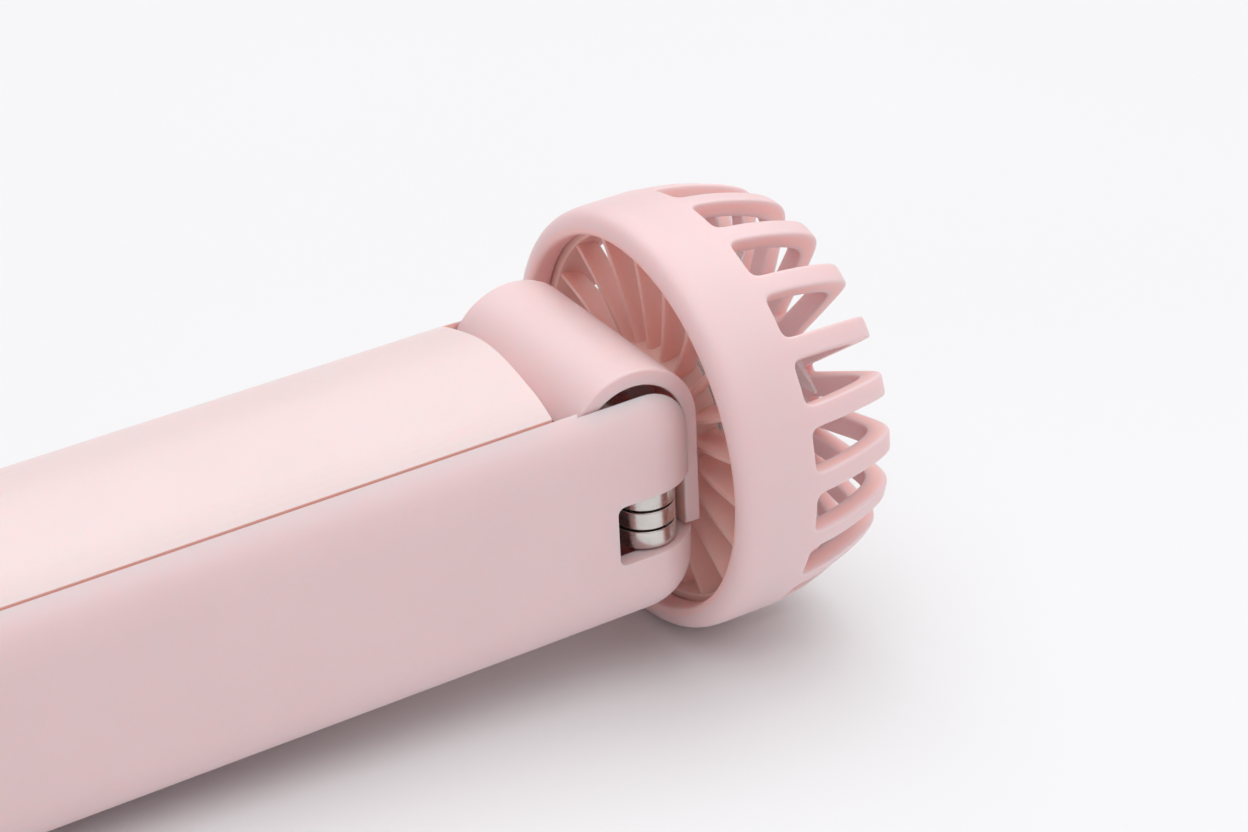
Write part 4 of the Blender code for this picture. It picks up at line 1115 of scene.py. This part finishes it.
def make_impeller():
    place = Matrix.Translation(FAN) @ TURN_TO_X
    points = [
        (0.0, 15.4),
        (3.0, 15.2),
        (6.2, 14.3),
        (8.6, 13.0),
        (9.6, 11.4),
        (9.6, 8.6),
        (8.6, 8.6),
        (8.6, 12.9),
        (0.9, 12.9),
        (0.9, 13.8),
        (0.0, 13.8),
    ]
    profile = rounded_profile([(r * MM, h * MM) for r, h in points], 0.6 * MM, 4)
    hub = turned_mesh(profile, place, 96, closed=False)
    blades = blade_mesh(
        BLADE_COUNT,
        spaced(HUB_RADIUS - 0.4 * MM, 23.2 * MM, 14),
        8.9 * MM,
        15.0 * MM,
        BLADE_SWEEP,
        math.radians(12),
        BLADE_THICKNESS,
        taper=0.25,
        chord=14,
    )
    bm = boolean(hub, ("UNION", blades))
    obj = finished("impeller_detail", bm, clear, "fan", "impeller")
    obj.data.set_sharp_from_angle(angle=math.radians(50))
    return obj


# ---- Stage --------------------------------------------------------------------------------------

COOL = (0.93, 1.0, 1.0)
FLOOR_TONES = ((0.83, 0.87, 0.88), (0.85, 0.89, 0.90))
STUDIO_AIR = (1.0, 0.81, 0.82, 1.0)
LIT_CENTRE = (0.02, 0.0, 0.03)
CAMERA_PLACE = (-0.1439, -0.3296, 0.2449)
CAMERA_FORWARD = (0.44304, 0.75006, -0.49104)
CAMERA_RIGHT = (0.84765, -0.52881, -0.04297)

def resting_plane():
    """The fan lies on the ring's back corner and on the tail cap's lower edge: (point, slope)."""
    contact = Vector((FAN.x + 2.4 * MM, 0, FAN.z - RING_RADIUS))
    tail = Vector((CAP_LOW.x + TAIL_EDGE, 0, HANDLE_BOTTOM + TAIL_EDGE))
    slope = (tail.z - contact.z - TAIL_EDGE) / (contact.x - tail.x)
    for _ in range(6):
        reach = TAIL_EDGE * math.sqrt(1 + slope**2)
        slope = (tail.z - contact.z - reach) / (contact.x - tail.x)
    return contact, math.atan(slope)


def make_floor():
    """A plane four metres each way, under the part as it really lies."""
    contact, tilt = resting_plane()
    bm = bmesh.new()
    bmesh.ops.create_grid(bm, x_segments=24, y_segments=24, size=4.0)
    turn = Matrix.Translation(contact) @ Matrix.Rotation(tilt, 4, "Y")
    bmesh.ops.transform(bm, matrix=turn, verts=bm.verts[:])
    mesh = bpy.data.meshes.new("floor")
    bm.to_mesh(mesh)
    bm.free()
    floor = bpy.data.objects.new("floor", mesh)
    bpy.context.scene.collection.objects.link(floor)
    nodes = Nodes("pale_floor")
    tone = nodes.mix(nodes.ramp(nodes.noise(3.0, 3.0), 0.0, 1.0), *FLOOR_TONES)
    floor.data.materials.append(nodes.feed(Base_Color=tone, Roughness=0.7))


def make_light(name, place, size, power):
    data = bpy.data.lights.new(name, "AREA")
    data.shape = "RECTANGLE"
    data.size, data.size_y = size
    data.energy = power
    data.color = COOL
    light = bpy.data.objects.new(name, data)
    light.location = place
    aim = Vector(LIT_CENTRE) - Vector(place)
    light.rotation_euler = aim.to_track_quat("-Z", "Y").to_euler()
    bpy.context.scene.collection.objects.link(light)


def make_lights():
    world = bpy.data.worlds.new("studio")
    bpy.context.scene.world = world
    world.use_nodes = True
    background = world.node_tree.nodes["Background"]
    background.inputs["Color"].default_value = STUDIO_AIR
    background.inputs["Strength"].default_value = 0.5
    make_light("back_softbox", (0.5, 0.7, 1.0), (1.6, 1.2), 3.4)
    make_light("top_softbox", (0.18, -0.1, 1.1), (1.8, 1.8), 12.5)


def make_camera():
    data = bpy.data.cameras.new("camera")
    data.sensor_width = 36.0
    data.lens = 100.0
    data.clip_start = 0.01
    data.clip_end = 20.0
    camera = bpy.data.objects.new("camera", data)
    forward = Vector(CAMERA_FORWARD).normalized()
    right = Vector(CAMERA_RIGHT)
    right = (right - right.dot(forward) * forward).normalized()
    up = right.cross(forward)
    turn = Matrix((right, up, -forward)).transposed().to_4x4()
    camera.matrix_world = Matrix.Translation(Vector(CAMERA_PLACE)) @ turn
    bpy.context.scene.collection.objects.link(camera)
    bpy.context.scene.camera = camera


make_camera()
make_shell()
make_cover()
make_bulkhead()
make_tail_cap()
make_socket()
make_button()
make_strap_rings()
make_barrel()
make_cage()
make_hub_cap()
make_stator()
make_impeller()
make_floor()
make_lights()
bpy.context.scene.view_settings.view_transform = "Standard"
